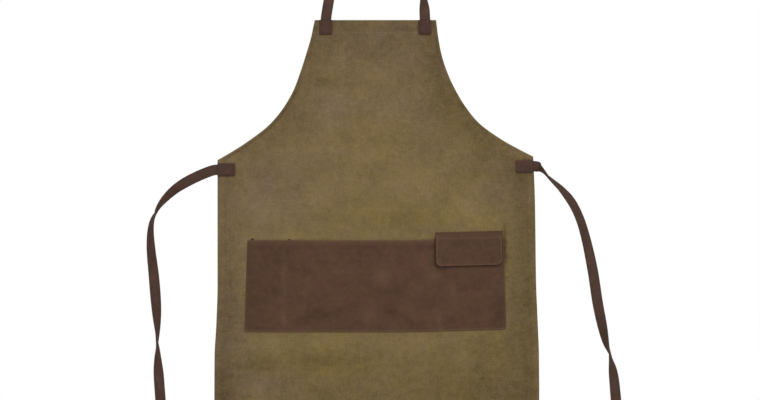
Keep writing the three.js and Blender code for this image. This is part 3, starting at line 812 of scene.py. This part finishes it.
# Centripetal Catmull-Rom spline: each point's tangent weighs its neighbours by the square roots of
# their distances, and each span is a cubic; gives points and the span number with its share
def splineLine(points, perSpan=24):
    points = np.asarray(points, float)
    ends = np.concatenate([[2 * points[0] - points[1]], points, [2 * points[-1] - points[-2]]])
    gap = np.linalg.norm(np.diff(ends, axis=0), axis=1) ** 0.5
    before, own, after = (gap[k:len(gap) - 2 + k, None] for k in range(3))
    p0, p1, p2, p3 = (ends[k:len(ends) - 3 + k] for k in range(4))
    leave = ((p1 - p0) / before - (p2 - p0) / (before + own) + (p2 - p1) / own) * own
    arrive = ((p2 - p1) / own - (p3 - p1) / (own + after) + (p3 - p2) / after) * own
    t = (np.arange(perSpan) / perSpan)[None, :, None]
    cubic = (
        p1[:, None] + leave[:, None] * t
        + (3 * (p2 - p1) - 2 * leave - arrive)[:, None] * t ** 2
        + (2 * (p1 - p2) + leave + arrive)[:, None] * t ** 3
    )
    line = np.concatenate([cubic.reshape(-1, 3), points[-1:]])
    spans = np.arange(len(line)) / perSpan
    return line, spans


# A flat strap along points. Its profile, carried along the line and turned about it, has quarter rounds
# at the edges, half a sine of padding and bell-shaped grooves; where it is seen edge on it bows across
# its width as a square. Padding and bow grow in 20 and 40 mm outside the patch. Returns the piece and the
# frames for its stitches
def makeStrap(name, points, turnOf, node, startRoom):
    line, spans = splineLine(points)
    length = lengthAlong(line)
    at = bothEdges(length[-1], straps["edge"], straps["step"])
    centre = lineAt(line, length, at)
    turn = turnOf(at / length[-1], np.interp(at, length, spans))[:, None]
    along = wayAlong(line, length, at, 0.5)
    flat = unit(np.cross(along, [0.0, 1.0, 0.0]))
    wide = flat * np.cos(turn) + np.cross(along, flat) * np.sin(turn)
    thick = unit(np.cross(along, wide))
    width, seam = straps["width"], straps["seam"]
    near = edgeSteps(straps["edge"], width / 2, straps["acrossStep"])
    across = np.concatenate([near, (width - near)[::-1][1:]])
    toEdge = np.minimum(across, width - across)
    toEnd = np.minimum(at, length[-1] - at)
    edge = roundEdge(toEdge, straps["edge"])[None, :] * roundEdge(toEnd, straps["edge"])[:, None]
    padding = straps["crown"] * rise(startRoom, startRoom + 20, toEnd)[:, None]
    grooves = peak(toEdge, seam, straps["grooveWidth"]) + 0.6 * peak(across, width / 2, 0.5)
    shape = padding * np.sin(np.pi * across / width) - straps["groove"] * grooves
    half = (edge * (straps["wall"] / 2 + shape))[:, :, None]
    cup = straps["cup"] * (wide[:, 1] ** 4 * rise(startRoom, startRoom + 40, toEnd))[:, None]
    bow = cup * (0.5 - (2 * across / width - 1) ** 2)[None, :]
    base = centre[:, None, :] + wide[:, None, :] * (across - width / 2)[None, :, None]
    base = base + thick[:, None, :] * bow[:, :, None]
    front, back = base + thick[:, None, :] * half, base - thick[:, None, :] * half
    # Burnished pale edges, and darker leather along the stitch lines
    tone = 0.05 * peak(toEdge, 0, 1.2) - 0.06 * peak(toEdge, seam, 0.8)
    values = {"tone": tone[None, :], "seam": (toEdge - seam)[None, :]}
    piece = finishPiece(makeSheet(name, front, back, values, strapMaterial), "strap_leather", node)
    keep = (at > startRoom) & (at < length[-1] - 4)
    return piece, {"centre": centre[keep], "wide": wide[keep], "thick": thick[keep], "cup": cup[keep]}


# The neck strap: from inside the left patch up to a round arch and down into the right patch. Its runs
# are tangents from the patches to the arch's circle, and the right one bows out as half a sine
def neckStrap():
    arch = straps["neckRadius"] + straps["wall"] / 2
    height = cloth["neckDrop"] - straps["neckRadius"]
    reach = math.hypot(patchX, height)
    lean = math.atan2(patchX, height) - math.asin(arch / reach)
    run = math.sqrt(reach * reach - arch * arch)
    tuck = patches["neckHeight"] - tuckRoom
    share = np.arange(1, 6) / 6

    def straightRun(side, bow):
        x = patchX - share * run * math.sin(lean) + bow * np.sin(np.pi * share)
        y = (hang(np.array(side * patchX), np.array(0.0)) - strapAhead) * (1 - share)
        return np.stack([side * x, y, share * run * math.cos(lean) - cloth["neckDrop"]], axis=-1)

    def end(side, down):
        return onCloth(side * patchX, down, strapAhead)

    angle = np.linspace(math.pi - lean, lean, 13)
    top = np.stack([arch * np.cos(angle), 0 * angle, arch * np.sin(angle) - straps["neckRadius"]], axis=-1)
    points = np.concatenate([
        end(-1, tuck * np.array([1, 0.5, 0])),
        straightRun(-1, 0),
        top,
        straightRun(1, straps["bow"])[::-1],
        end(1, tuck * np.array([0, 0.5, 1])),
    ])

    def turnOf(share, span):
        return -math.pi / 2 * readTable(neckTwist, share, 1)

    return makeStrap("neck_strap_leather", points, turnOf, "neck_strap", tuck + 2)


# A tie: tucked under its waist patch, then along its route, which has the tie's length
def waistTie(side, table, name, node):
    rows = np.asarray(table, float)
    route = np.stack([side * rows[:, 0], -rows[:, 2], -rows[:, 1]], axis=-1)
    line, _ = splineLine(route, 60)
    size = straps["tieLength"] / lengthAlong(line)[-1]
    drop = tieDrop(side)
    edge = side * cloth["waist"] / 2
    tuck = patches["waistLength"] - tuckRoom
    start = onCloth(edge - side * tuck * np.array([1, 0.5]), drop, strapAhead)
    points = np.concatenate([start, route * size + onCloth(edge, drop, strapAhead)])
    turns = np.concatenate([[0, 0], rows[:, 3]])
    turnRows = np.stack([np.arange(len(turns)), turns], axis=-1)

    def turnOf(share, span):
        return side * 2 * math.pi * readTable(turnRows, span, 1)

    return makeStrap(name, points, turnOf, node, tuck + 2)


# Level of a tie's middle: half a patch and waistDrop under its waist corner
def tieDrop(side):
    corner = cloth["bibDepth"] + cloth["waistSlant"] * (0.5 if side < 0 else -0.5)
    return corner + patches["waistDrop"] + patches["across"] / 2


neckPiece, neckFrame = neckStrap()
_, leftTieFrame = waistTie(-1, leftTie, "tie_leather_left", "waist_tie_left")
_, rightTieFrame = waistTie(1, rightTie, "tie_leather_right", "waist_tie_right")
print("straps made")


# Distance inside a rectangle with rounded corners, given the distances from its four sides: near a corner
# it is the radius less the distance from the corner's own centre
def insideRounded(a, b, c, d, radius):
    x, y = np.minimum(a, b), np.minimum(c, d)
    corner = radius - np.hypot(np.maximum(radius - x, 0), np.maximum(radius - y, 0))
    return np.where((x < radius) & (y < radius), corner, np.minimum(x, y))


# How far a round corner draws an edge in at a distance from the corner's other edge
def cornerInset(distance, radius):
    return radius - np.sqrt(np.maximum(radius ** 2 - np.maximum(radius - distance, 0) ** 2, 0))


# A patch over a strap's end: flanges lie on the canvas on three sides and the middle is raised by a smooth
# step. u runs from the side where the strap comes in, v across; the far corners are drawn in to a round
def makePatch(name, length, place, node, shade):
    width, r, rim = patches["across"], patches["corner"], patches["edge"]
    u = bothEdges(length, rim, rim)[:, None]
    v = bothEdges(width, rim, rim)[None, :]
    toFar = length - u
    pull = cornerInset(toFar, r)
    across = pull + v * (width - 2 * pull) / width
    toSide = np.minimum(across, width - across)
    inside = np.minimum(insideRounded(across, width - across, toFar, patches["open"], r), u)
    border = np.minimum(toSide, toFar)
    raised = rise(patches["flange"] * 0.6, patches["flange"] + patches["ramp"], border)
    low = seat + (strapAhead + straps["wall"] / 2 + cloth["room"] - seat) * raised
    seamLine = border - patches["seam"]
    dent = patches["dent"] * peak(seamLine, 0, 0.6) * roundEdge(u, 3)
    # A painted highlight along the rim, and darker leather along the stitch line
    tone = shade + 0.28 * peak(border, 1.2, 1.0) - 0.16 * peak(seamLine, 0, 0.9)
    piece = makeLayer(name, u, across - width / 2, low + patches["wall"] / 2, patches["wall"],
                      -dent, roundEdge(inside, rim), {"tone": tone, "seam": seamLine}, strapMaterial, place)
    return finishPiece(piece, "strap_leather", node)


# Places on the cloth for a patch's u and v: a neck patch's u runs down, a waist patch's u inwards
def neckPatchPlace(side):
    return lambda u, v, ahead: onCloth(side * patchX + v, u, ahead)


def waistPatchPlace(side):
    return lambda u, v, ahead: onCloth(side * (cloth["waist"] / 2 - u), tieDrop(side) + v, ahead)


patchKinds = [  # name, length, place and tone
    ("neck", patches["neckHeight"], neckPatchPlace, -0.12),
    ("waist", patches["waistLength"], waistPatchPlace, -0.03),
]
for side, word in ((-1, "left"), (1, "right")):
    for kind, length, placeOf, shade in patchKinds:
        makePatch(kind + "_patch_leather_" + word, length, placeOf(side), kind + "_patch_" + word, shade)
print("patches made")

# Compartments: left and right seam (shares of the width), share of the mouth's gap
compartments = [(0, 0.158, 0.72), (0.158, 0.752, 1), (0.752, 1, 0.68)]

flap = {
    "width": 127.6,
    "height": 64.2,
    "overlap": 51.2,  # how much of it hangs below the pocket's mouth
    "inset": 1,  # from the pocket's right end
    "corner": 11,
    "seam": 4,  # height of the strip sewn flat
    "bend": 8,  # height of the bend below it
    "lift": 2.2,  # how much further out the lower edge hangs
    "tilt": 1.4,  # degrees
    "wall": 1.8,
    "edge": 0.8,
    "stitch": 2.4,  # from the edges to their stitch line
    "dent": 0.3,
}

# Pull-up marks on the pocket: across, down (mm), half length, half width (mm), lean (degrees), tone
pocketMarks = [
    (14, 486, 12, 12, 0, 0.16), (-83, 451, 9, 6, 0, 0.09), (-74, 474, 9, 7, 0, 0.09),
    (-173, 480, 5, 16, 0, 0.08), (-173, 568, 5, 9, 0, 0.1), (-172, 520, 4, 44, 0, 0.05),
    (-128, 505, 10, 14, 30, 0.05), (-117, 452, 5, 30, -18, 0.05), (115, 483, 8, 9, 0, 0.12),
    (146, 515, 5, 18, -8, 0.09), (121, 572, 5, 12, 0, 0.09), (-12, 560, 10, 14, 0, 0.08),
    (83, 511, 14, 10, 0, 0.07), (60, 548, 16, 8, 30, 0.05), (-60, 530, 30, 14, 0, 0.03),
    (-75, 553, 26, 7, -12, -0.09), (-128, 566, 22, 7, -30, -0.08), (29, 553, 18, 6, 28, -0.09),
    (49, 563, 7, 6, 0, 0.07), (61, 572, 14, 6, 30, -0.06), (71, 473, 6, 10, 0, -0.06),
    (38, 514, 14, 6, 0, -0.06), (234, 552, 12, 26, 0, -0.1), (-211, 440, 28, 22, 0, -0.05),
    (-226, 552, 16, 28, 0, -0.04), (-205, 500, 30, 40, 0, -0.04), (12, 428, 110, 6, 0, -0.06),
    (-120, 470, 22, 18, 0, -0.03), (180, 500, 20, 20, 0, -0.02),
]


# How far the pocket stands off the cloth: in each compartment a flat-topped bow, 1 less the fourth power
# of the way from its middle, full at the mouth and closing as a cosine to nothing at the bottom seam
def pocketBulge(across, down):
    total = np.zeros(np.broadcast(across, down).shape)
    for left, right, gap in compartments:
        inside = np.clip(2 * (across - left) / (right - left) - 1, -1, 1)
        total = total + pocket["gap"] * gap * (1 - inside ** 4) * np.cos(math.pi / 2 * down)
    return total


# Place of a point of the pocket, given as shares across and down: it widens downwards, and its right end
# rides up
def pocketPoint(across, down):
    x = (across - 0.5) * (pocket["top"] + pocket["spread"] * down)
    lifted = pocket["lift"] * rise(pocket["liftStart"], pocket["liftEnd"], across)
    return x, pocket["drop"] + down * pocket["height"] - lifted


# The pocket: rows from mouth to bottom and columns from end to end, finer at every seam, with a turned
# mouth edge that is thicker, and both bottom corners drawn in to a round
def makePocket():
    height, r = pocket["height"], pocket["corner"]
    stations = [
        left + bothEdges((right - left) * pocket["top"], pocket["edge"], 2.6)[1:] / pocket["top"]
        for left, right, _ in compartments
    ]
    across = np.concatenate([[0.0], *stations])[None, :]
    down = (bothEdges(height, pocket["edge"], 2.4) / height)[:, None]
    x, drop = pocketPoint(across, down)
    fromMouth, toBottom = down * height, (1 - down) * height
    toSide = np.minimum(across, 1 - across) * (pocket["top"] + pocket["spread"] * down)
    pull = cornerInset(toBottom, r)
    fade = np.exp(-toSide / 10)
    x = x + pull * fade * np.sign(0.5 - across)
    fromSide = toSide + pull * fade
    toSide = fromSide - pull
    inside = np.minimum(insideRounded(fromSide, fromSide, toBottom, toBottom, r), fromMouth)
    seamLine = np.minimum(toSide, toBottom) - pocket["seam"]
    mouthSeam = fromMouth - pocket["mouthSeam"]
    seamLine = np.where(np.abs(mouthSeam) < np.abs(seamLine), mouthSeam, seamLine)
    turned = pocket["thick"] * (1 - rise(pocket["mouthTurn"] - 1, pocket["mouthTurn"] + 0.6, fromMouth))
    dent = pocket["dent"] * peak(seamLine, 0, 0.8)
    # Pull-up marks, then painted highlights along the mouth edge and its fold, then painted highlights along
    # the sides and bottom
    tone = 1.6 * softSpots(pocketMarks, x, drop)
    tone = tone + 0.3 * peak(fromMouth, 1, 2.4) + 0.12 * peak(fromMouth, 6, 2.4)
    tone = tone + 0.16 * peak(toSide, 1.6, 1.3) + 0.34 * peak(toBottom, 1.9, 1.5)
    ahead = seat + pocketBulge(across, down) + pocket["wall"] / 2
    return makeLayer("pocket_leather", x, drop, ahead, pocket["wall"], turned - dent,
                     roundEdge(inside, pocket["edge"]), {"tone": tone, "seam": seamLine}, pocketMaterial)


# Place of a point of the flap: sewn flat to the canvas at the top, then bent out over the pocket's mouth
# by smooth steps, and tilted by a shear
def flapPoint(fromLeft, down):
    right = pocket["top"] / 2 - flap["inset"]
    x = right - flap["width"] + fromLeft
    top = pocket["drop"] - pocket["lift"] / 2 - flap["height"] + flap["overlap"]
    drop = top + down - (x - right + flap["width"] / 2) * math.tan(math.radians(flap["tilt"]))
    overMouth = seat + pocket["gap"] * compartments[-1][2] + pocket["wall"] + 2 * cloth["room"]
    hangStart = flap["seam"] + flap["bend"]
    bent = seat + (overMouth - seat) * rise(flap["seam"], hangStart, down)
    return x, drop, bent + flap["lift"] * rise(hangStart, flap["height"], down)


# The flap: rows run down to the rounded corners and go on by equal angles, and each row's columns are
# drawn in to the corners' arcs
def makeFlap():
    width, height, r = flap["width"], flap["height"], flap["corner"]
    down = bothEdges(2 * (height - r), flap["edge"], 1.5)
    corner = height - r + r * np.sin(np.radians(np.linspace(0, 90, 19)))[1:]
    down = np.concatenate([down[down <= height - r], corner])[:, None]
    share = (bothEdges(width, flap["edge"], 2.0) / width)[None, :]
    inset = cornerInset(height - down, r)
    fromLeft = inset + share * (width - 2 * inset)
    inside = insideRounded(fromLeft, width - fromLeft, height - down, patches["open"], r)
    inside = np.minimum(np.maximum(inside, 0), down)
    inside[-1, :] = 0
    inside[:, [0, -1]] = 0
    x, drop, ahead = flapPoint(fromLeft, down)
    around = np.where(down < height / 2, np.minimum(fromLeft, width - fromLeft), inside)
    seamLine = np.abs(around - flap["stitch"])
    # A painted highlight just inside the edge with painted shadow on the edge itself, a painted highlight
    # along the lower rim and painted light on the bend under the sewn strip
    rim = 0.44 * peak(around, 2.3, 1.1) - 0.5 * peak(around, 0, 0.9)
    tone = rim * rise(0, 14, down) + 0.05 * peak(height - down, 4, 5) + 0.16 * peak(down, 9, 4) - 0.06
    return makeLayer("flap_leather", x, drop, ahead + flap["wall"] / 2, flap["wall"],
                     -flap["dent"] * peak(seamLine, 0, 0.7), roundEdge(inside, flap["edge"]),
                     {"tone": tone, "seam": seamLine}, pocketMaterial)


finishPiece(makePocket(), "pocket_leather", "pocket_panel")
finishPiece(makeFlap(), "pocket_leather", "pocket_flap")
print("pocket and flap made")

stitches = {
    "canvasPitch": 3.6,
    "leatherPitch": 3.4,
    "share": 0.74,  # a stitch's part of its pitch
    "radius": 0.34,
    "sink": 0.12,
    "into": 0.2,  # how far a row on leather lies inside its face
    "intoStrap": 0.1,
    "along": np.array([-1, -0.72, 0, 0.72, 1]),  # stations of a stitch, in half lengths
    "swell": np.array([0.35, 0.85, 1, 0.85, 0.35]),  # share of the radius at each
    "sides": 6,
}


# A row of stitches along a line on a surface, as many as fit best: each is a short thread with a round
# profile, whose ends dip as the square of the distance from its middle. The outward direction is one for
# all or one for each point of the line
def stitchRow(line, outward, pitch):
    outward = np.broadcast_to(outward, line.shape)
    length = lengthAlong(line)
    count = max(int(round(length[-1] / pitch)), 1)
    pitch = length[-1] / count
    at = (np.arange(count) + 0.5) * pitch
    along, radius = stitches["along"], stitches["radius"]
    stations = (at[:, None] + pitch * stitches["share"] / 2 * along).ravel()
    centre = lineAt(line, length, stations).reshape(count, len(along), 3)
    up = unit(lineAt(outward, length, stations).reshape(count, len(along), 3))
    across = unit(np.cross(wayAlong(line, length, at, 0.4)[:, None, :], up))
    centre = centre + up * (radius * (0.7 - 1.1 * along ** 2) - stitches["sink"])[None, :, None]
    angle = np.arange(stitches["sides"])[:, None] / stitches["sides"] * 2 * math.pi
    ring = radius * (up[:, :, None, :] * np.cos(angle) + across[:, :, None, :] * np.sin(angle))
    return centre[:, :, None, :] + ring * stitches["swell"][None, :, None, None]


# Joins rows of stitches into one piece, with two quads to close each end of a thread
def makeStitches(name, rows, material):
    points = np.concatenate(rows)
    count, rings, sides = points.shape[:3]
    each = rings * sides
    cap = np.array([[0, 1, 2, 3], [0, 3, 4, 5]])
    walls = gridQuads(np.arange(each).reshape(rings, sides), closed=True)
    quads = np.concatenate([walls, cap, cap[:, ::-1] + each - sides])
    every = (quads[None, :, :] + each * np.arange(count)[:, None, None]).reshape(-1, 4)
    print(name, count, "stitches")
    return finishPiece(makeMesh(name, points, every, {}, material), "thread")


# Stitches on the cloth at an ahead distance: front rows face the viewer (-1), back rows the wearer (1)
def clothRow(x, drop, ahead, pitch, facing=-1):
    return stitchRow(onCloth(x, drop, ahead), (0, facing, 0), pitch)


# The same line of stitches seen on both faces
def bothRows(x, drop, ahead, behind, pitch):
    return [clothRow(x, drop, ahead, pitch), clothRow(x, drop, -behind, pitch, 1)]


# Both faces of every hem's stitch line. The side ones stop 3 to 5 mm short of the ends of their edges on
# the front, and at the end hems' inner edges on the back
def hemSeamRows():
    rows = []
    pitch, face, behind = stitches["canvasPitch"], cloth["wall"] / 2, seat + hems["wall"]
    for (side, part), (line, inward, length) in edges.items():
        if part == "armhole":
            first, last = np.interp(3, line[:, 1], length), length[-1] - 4
        else:
            first, last = 5.0, length[-1] - 2
        at = np.linspace(first, last, 500)
        seam = lineAt(line, length, at) + lineAt(inward, length, at) * (hems[part] - hems["inset"])
        rows.append(clothRow(seam[:, 0], seam[:, 1], face, pitch))
        shown = (seam[:, 1] > hems["top"] + 1) & (seam[:, 1] < cloth["length"] - hems["bottom"] - 1)
        rows.append(clothRow(seam[shown, 0], seam[shown, 1], -behind, pitch, 1))
    top, bottom = hems["top"] - hems["inset"], cloth["length"] - hems["bottom"] + hems["inset"]
    for drop, level in ((top, top / cloth["bibDepth"]), (bottom, 1.97)):
        level = np.array(level)
        x = np.linspace(3 - halfWidth(level, -1), halfWidth(level, 1) - 3, 300)
        rows += bothRows(x, drop, face, behind, pitch)
    return rows


# The pocket's seams: both ends, the bottom and the lines between compartments, seen on both faces, and
# the mouth's own line in each compartment
def pocketSeamRows():
    inset, pitch, wall = pocket["seam"], stitches["leatherPitch"], pocket["wall"]
    t = np.linspace(0, 1, 200)
    sideShare, bottomShare = inset / pocket["top"], 1 - inset / pocket["height"]
    mouth = pocket["mouthSeam"] / pocket["height"]
    paths = [
        (sideShare, t * bottomShare),
        (1 - sideShare, t * bottomShare),
        (sideShare + t * (1 - 2 * sideShare), bottomShare),
        *[(left, t * bottomShare) for left, _, _ in compartments[1:]],
    ]
    rows = []
    for across, down in paths:
        ahead = seat + pocketBulge(across, down) + wall - stitches["into"]
        rows += bothRows(*pocketPoint(across, down), ahead, cloth["wall"] / 2, pitch)
    for left, right, _ in compartments:
        across = left + (right - left) * (0.01 + 0.98 * t)
        ahead = seat + pocketBulge(across, mouth) + wall + 0.1
        rows.append(clothRow(*pocketPoint(across, mouth), ahead, pitch))
    return rows


# Bar tacks at the mouth, tight stitches side by side over each seam's end, the first ones on the canvas:
# share of the pocket's width, first stitch's height above the mouth (mm), number of stitches
barTacks = [(0.018, 3.2, 9), (0.163, 1.8, 7), (0.752, 1.8, 7), (0.982, 3.2, 9)]
tack = {
    "pitch": 0.8,
    "half": 4.5,  # half a stitch's length
    "proud": 0.35,
}


# One stitch for each step down a tack, straight across it
def barTackRows():
    rows = []
    reach = tack["half"] * np.linspace(-1, 1, 5)
    for across, above, count in barTacks:
        for down in tack["pitch"] * np.arange(count) - above:
            x, drop = pocketPoint(across, down / pocket["height"])
            ahead = seat + (pocket["wall"] + tack["proud"]) * (down > 0)
            rows.append(clothRow(x + reach, drop, ahead, 2 * tack["half"]))
    return rows


# The flap's row down its left edge, round both corners and up its right edge, and the row that sews it on
def flapSeamRows():
    inset, r = flap["stitch"], flap["corner"] - flap["stitch"]
    quarter = np.radians(np.linspace(0, 90, 14))
    width, height, pitch = flap["width"], flap["height"], stitches["leatherPitch"]
    cornerTop = height - inset - r
    left = np.concatenate([np.full(40, inset), inset + r - r * np.cos(quarter)])
    down = np.concatenate([np.linspace(1.5, cornerTop, 40), cornerTop + r * np.sin(quarter)])
    bottom = np.linspace(left[-1], width - left[-1], 60)[1:-1]
    fromLeft = np.concatenate([left, bottom, (width - left)[::-1]])
    drops = np.concatenate([down, np.full(len(bottom), height - inset), down[::-1]])
    face = flap["wall"] - stitches["into"]
    x, drop, ahead = flapPoint(fromLeft, drops)
    around = clothRow(x, drop, ahead + face, pitch)
    x, drop, ahead = flapPoint(np.linspace(3, width - 3, 60), flap["seam"] / 2)
    return [around, *bothRows(x, drop, ahead + face, cloth["wall"] / 2, pitch)]


# Two rows of stitches on both faces of a strap, lying on its bow
def strapRows(ride):
    offset = straps["width"] / 2 - straps["seam"]
    bow = ride["cup"] * (0.5 - (2 * offset / straps["width"]) ** 2)
    rows = []
    for face in (-1, 1):
        for way in (-1, 1):
            up = ride["thick"] * face
            line = ride["centre"] + ride["wide"] * offset * way + ride["thick"] * bow
            line = line + up * (straps["wall"] / 2 - stitches["intoStrap"])
            rows.append(stitchRow(line, up, stitches["leatherPitch"]))
    return rows


# A patch's stitches run down one flank, along its far end and up the other, on both faces
def patchRows(place, length):
    inset, half = patches["seam"], patches["across"] / 2 - patches["seam"]
    down = np.linspace(1.5, length - inset, 30)
    side = np.full(30, half)
    u = np.concatenate([down, np.full(28, length - inset), down[::-1]])
    v = np.concatenate([-side, np.linspace(-half, half, 30)[1:-1], side])
    face = strapAhead + straps["wall"] / 2 + cloth["room"] + patches["wall"] - stitches["into"]
    return [
        stitchRow(place(u, v, ahead), (0, way, 0), stitches["leatherPitch"])
        for ahead, way in ((face, -1), (-cloth["wall"] / 2, 1))
    ]


makeStitches("canvas_stitches", hemSeamRows(), canvasThread)
makeStitches("pocket_stitches", pocketSeamRows() + flapSeamRows(), leatherThread)
makeStitches("bar_tacks", barTackRows(), tackThread)
patchStitches = []
for side in (-1, 1):
    for _, length, placeOf, _ in patchKinds:
        patchStitches += patchRows(placeOf(side), length)
makeStitches("patch_stitches", patchStitches, leatherThread)
makeStitches("neck_strap_stitches", strapRows(neckFrame), leatherThread)
makeStitches("tie_stitches", strapRows(leftTieFrame) + strapRows(rightTieFrame), leatherThread)
print("stitches made")

studio = {
    "worldLight": 0.55,
    "keyPower": 46,  # watts
    "lampSize": 1.6,
    "keyPlace": (0.8, -2.6, 1.2),
    "fillPower": 8,
    "fillPlace": (-1.8, -2.4, -0.9),
    "centre": (0.0087, 0, -0.603),
    "distance": 3.4,
    "lens": 85,
    "floorDrop": 0.12,
}


# Puts a camera or lamp at a place and turns it to face the studio's centre: two angles of the way there
def addThing(name, data, place):
    thing = bpy.data.objects.new(name, data)
    thing.location = place
    away = np.array(place) - np.array(studio["centre"])
    tilt = math.atan2(math.hypot(away[0], away[1]), away[2])
    thing.rotation_euler = (tilt, 0, math.atan2(away[0], -away[1]))
    bpy.context.scene.collection.objects.link(thing)
    return thing


# A square lamp
def makeLamp(name, place, power):
    lamp = bpy.data.lights.new(name, "AREA")
    lamp.energy = power
    lamp.size = studio["lampSize"]
    addThing(name, lamp, place)


# Pale round floor with a soft rim, below the ties
def makeFloor():
    radius = np.array([0, 300, 600, 900, 1000, 1020.0])
    depth = np.array([0, 0, 0, 0, 0, -12.0])
    angle = np.linspace(0, 2 * math.pi, 97)[:-1]
    low = (cadBox[0][2] - studio["floorDrop"]) * 1000
    flat = radius[:, None, None] * np.stack([np.cos(angle), np.sin(angle)], axis=-1)
    level = np.repeat((low + depth)[:, None, None], len(angle), axis=1)
    index = np.arange(level.size).reshape(len(radius), len(angle))
    surface = {"Base Color": hexColour("e9e8e6"), "Roughness": 0.8}
    material = startMaterial("painted studio floor", surface)[0]
    points = np.concatenate([flat, level], axis=-1)
    floor = makeMesh("floor", points, gridQuads(index, closed=True), {}, material)


# White backdrop light: the camera sees plain white, and the cloth gets softer light from all round
def makeWorld():
    world = bpy.data.worlds.new("studio")
    bpy.context.scene.world = world
    world.use_nodes = True
    tree = world.node_tree
    white = (1, 1, 1, 1)
    seen = tree.nodes["Background"]
    seen.inputs["Color"].default_value = white
    lit = addNode(tree, "ShaderNodeBackground", {"Color": white, "Strength": studio["worldLight"]})
    path = addNode(tree, "ShaderNodeLightPath")
    mixed = addNode(tree, "ShaderNodeMixShader",
                    {0: path.outputs["Is Camera Ray"], 1: lit.outputs[0], 2: seen.outputs[0]})
    tree.links.new(mixed.outputs[0], tree.nodes["World Output"].inputs["Surface"])


# The camera looks straight at the front, level with the studio's centre
def makeCamera():
    camera = bpy.data.cameras.new("camera")
    camera.lens = studio["lens"]
    camera.sensor_width = 36
    x, _, z = studio["centre"]
    bpy.context.scene.camera = addThing("camera", camera, (x, -studio["distance"], z))


makeFloor()
makeWorld()
makeLamp("key", studio["keyPlace"], studio["keyPower"])
makeLamp("fill", studio["fillPlace"], studio["fillPower"])
makeCamera()
bpy.context.scene.view_settings.view_transform = "Standard"
print("studio made")
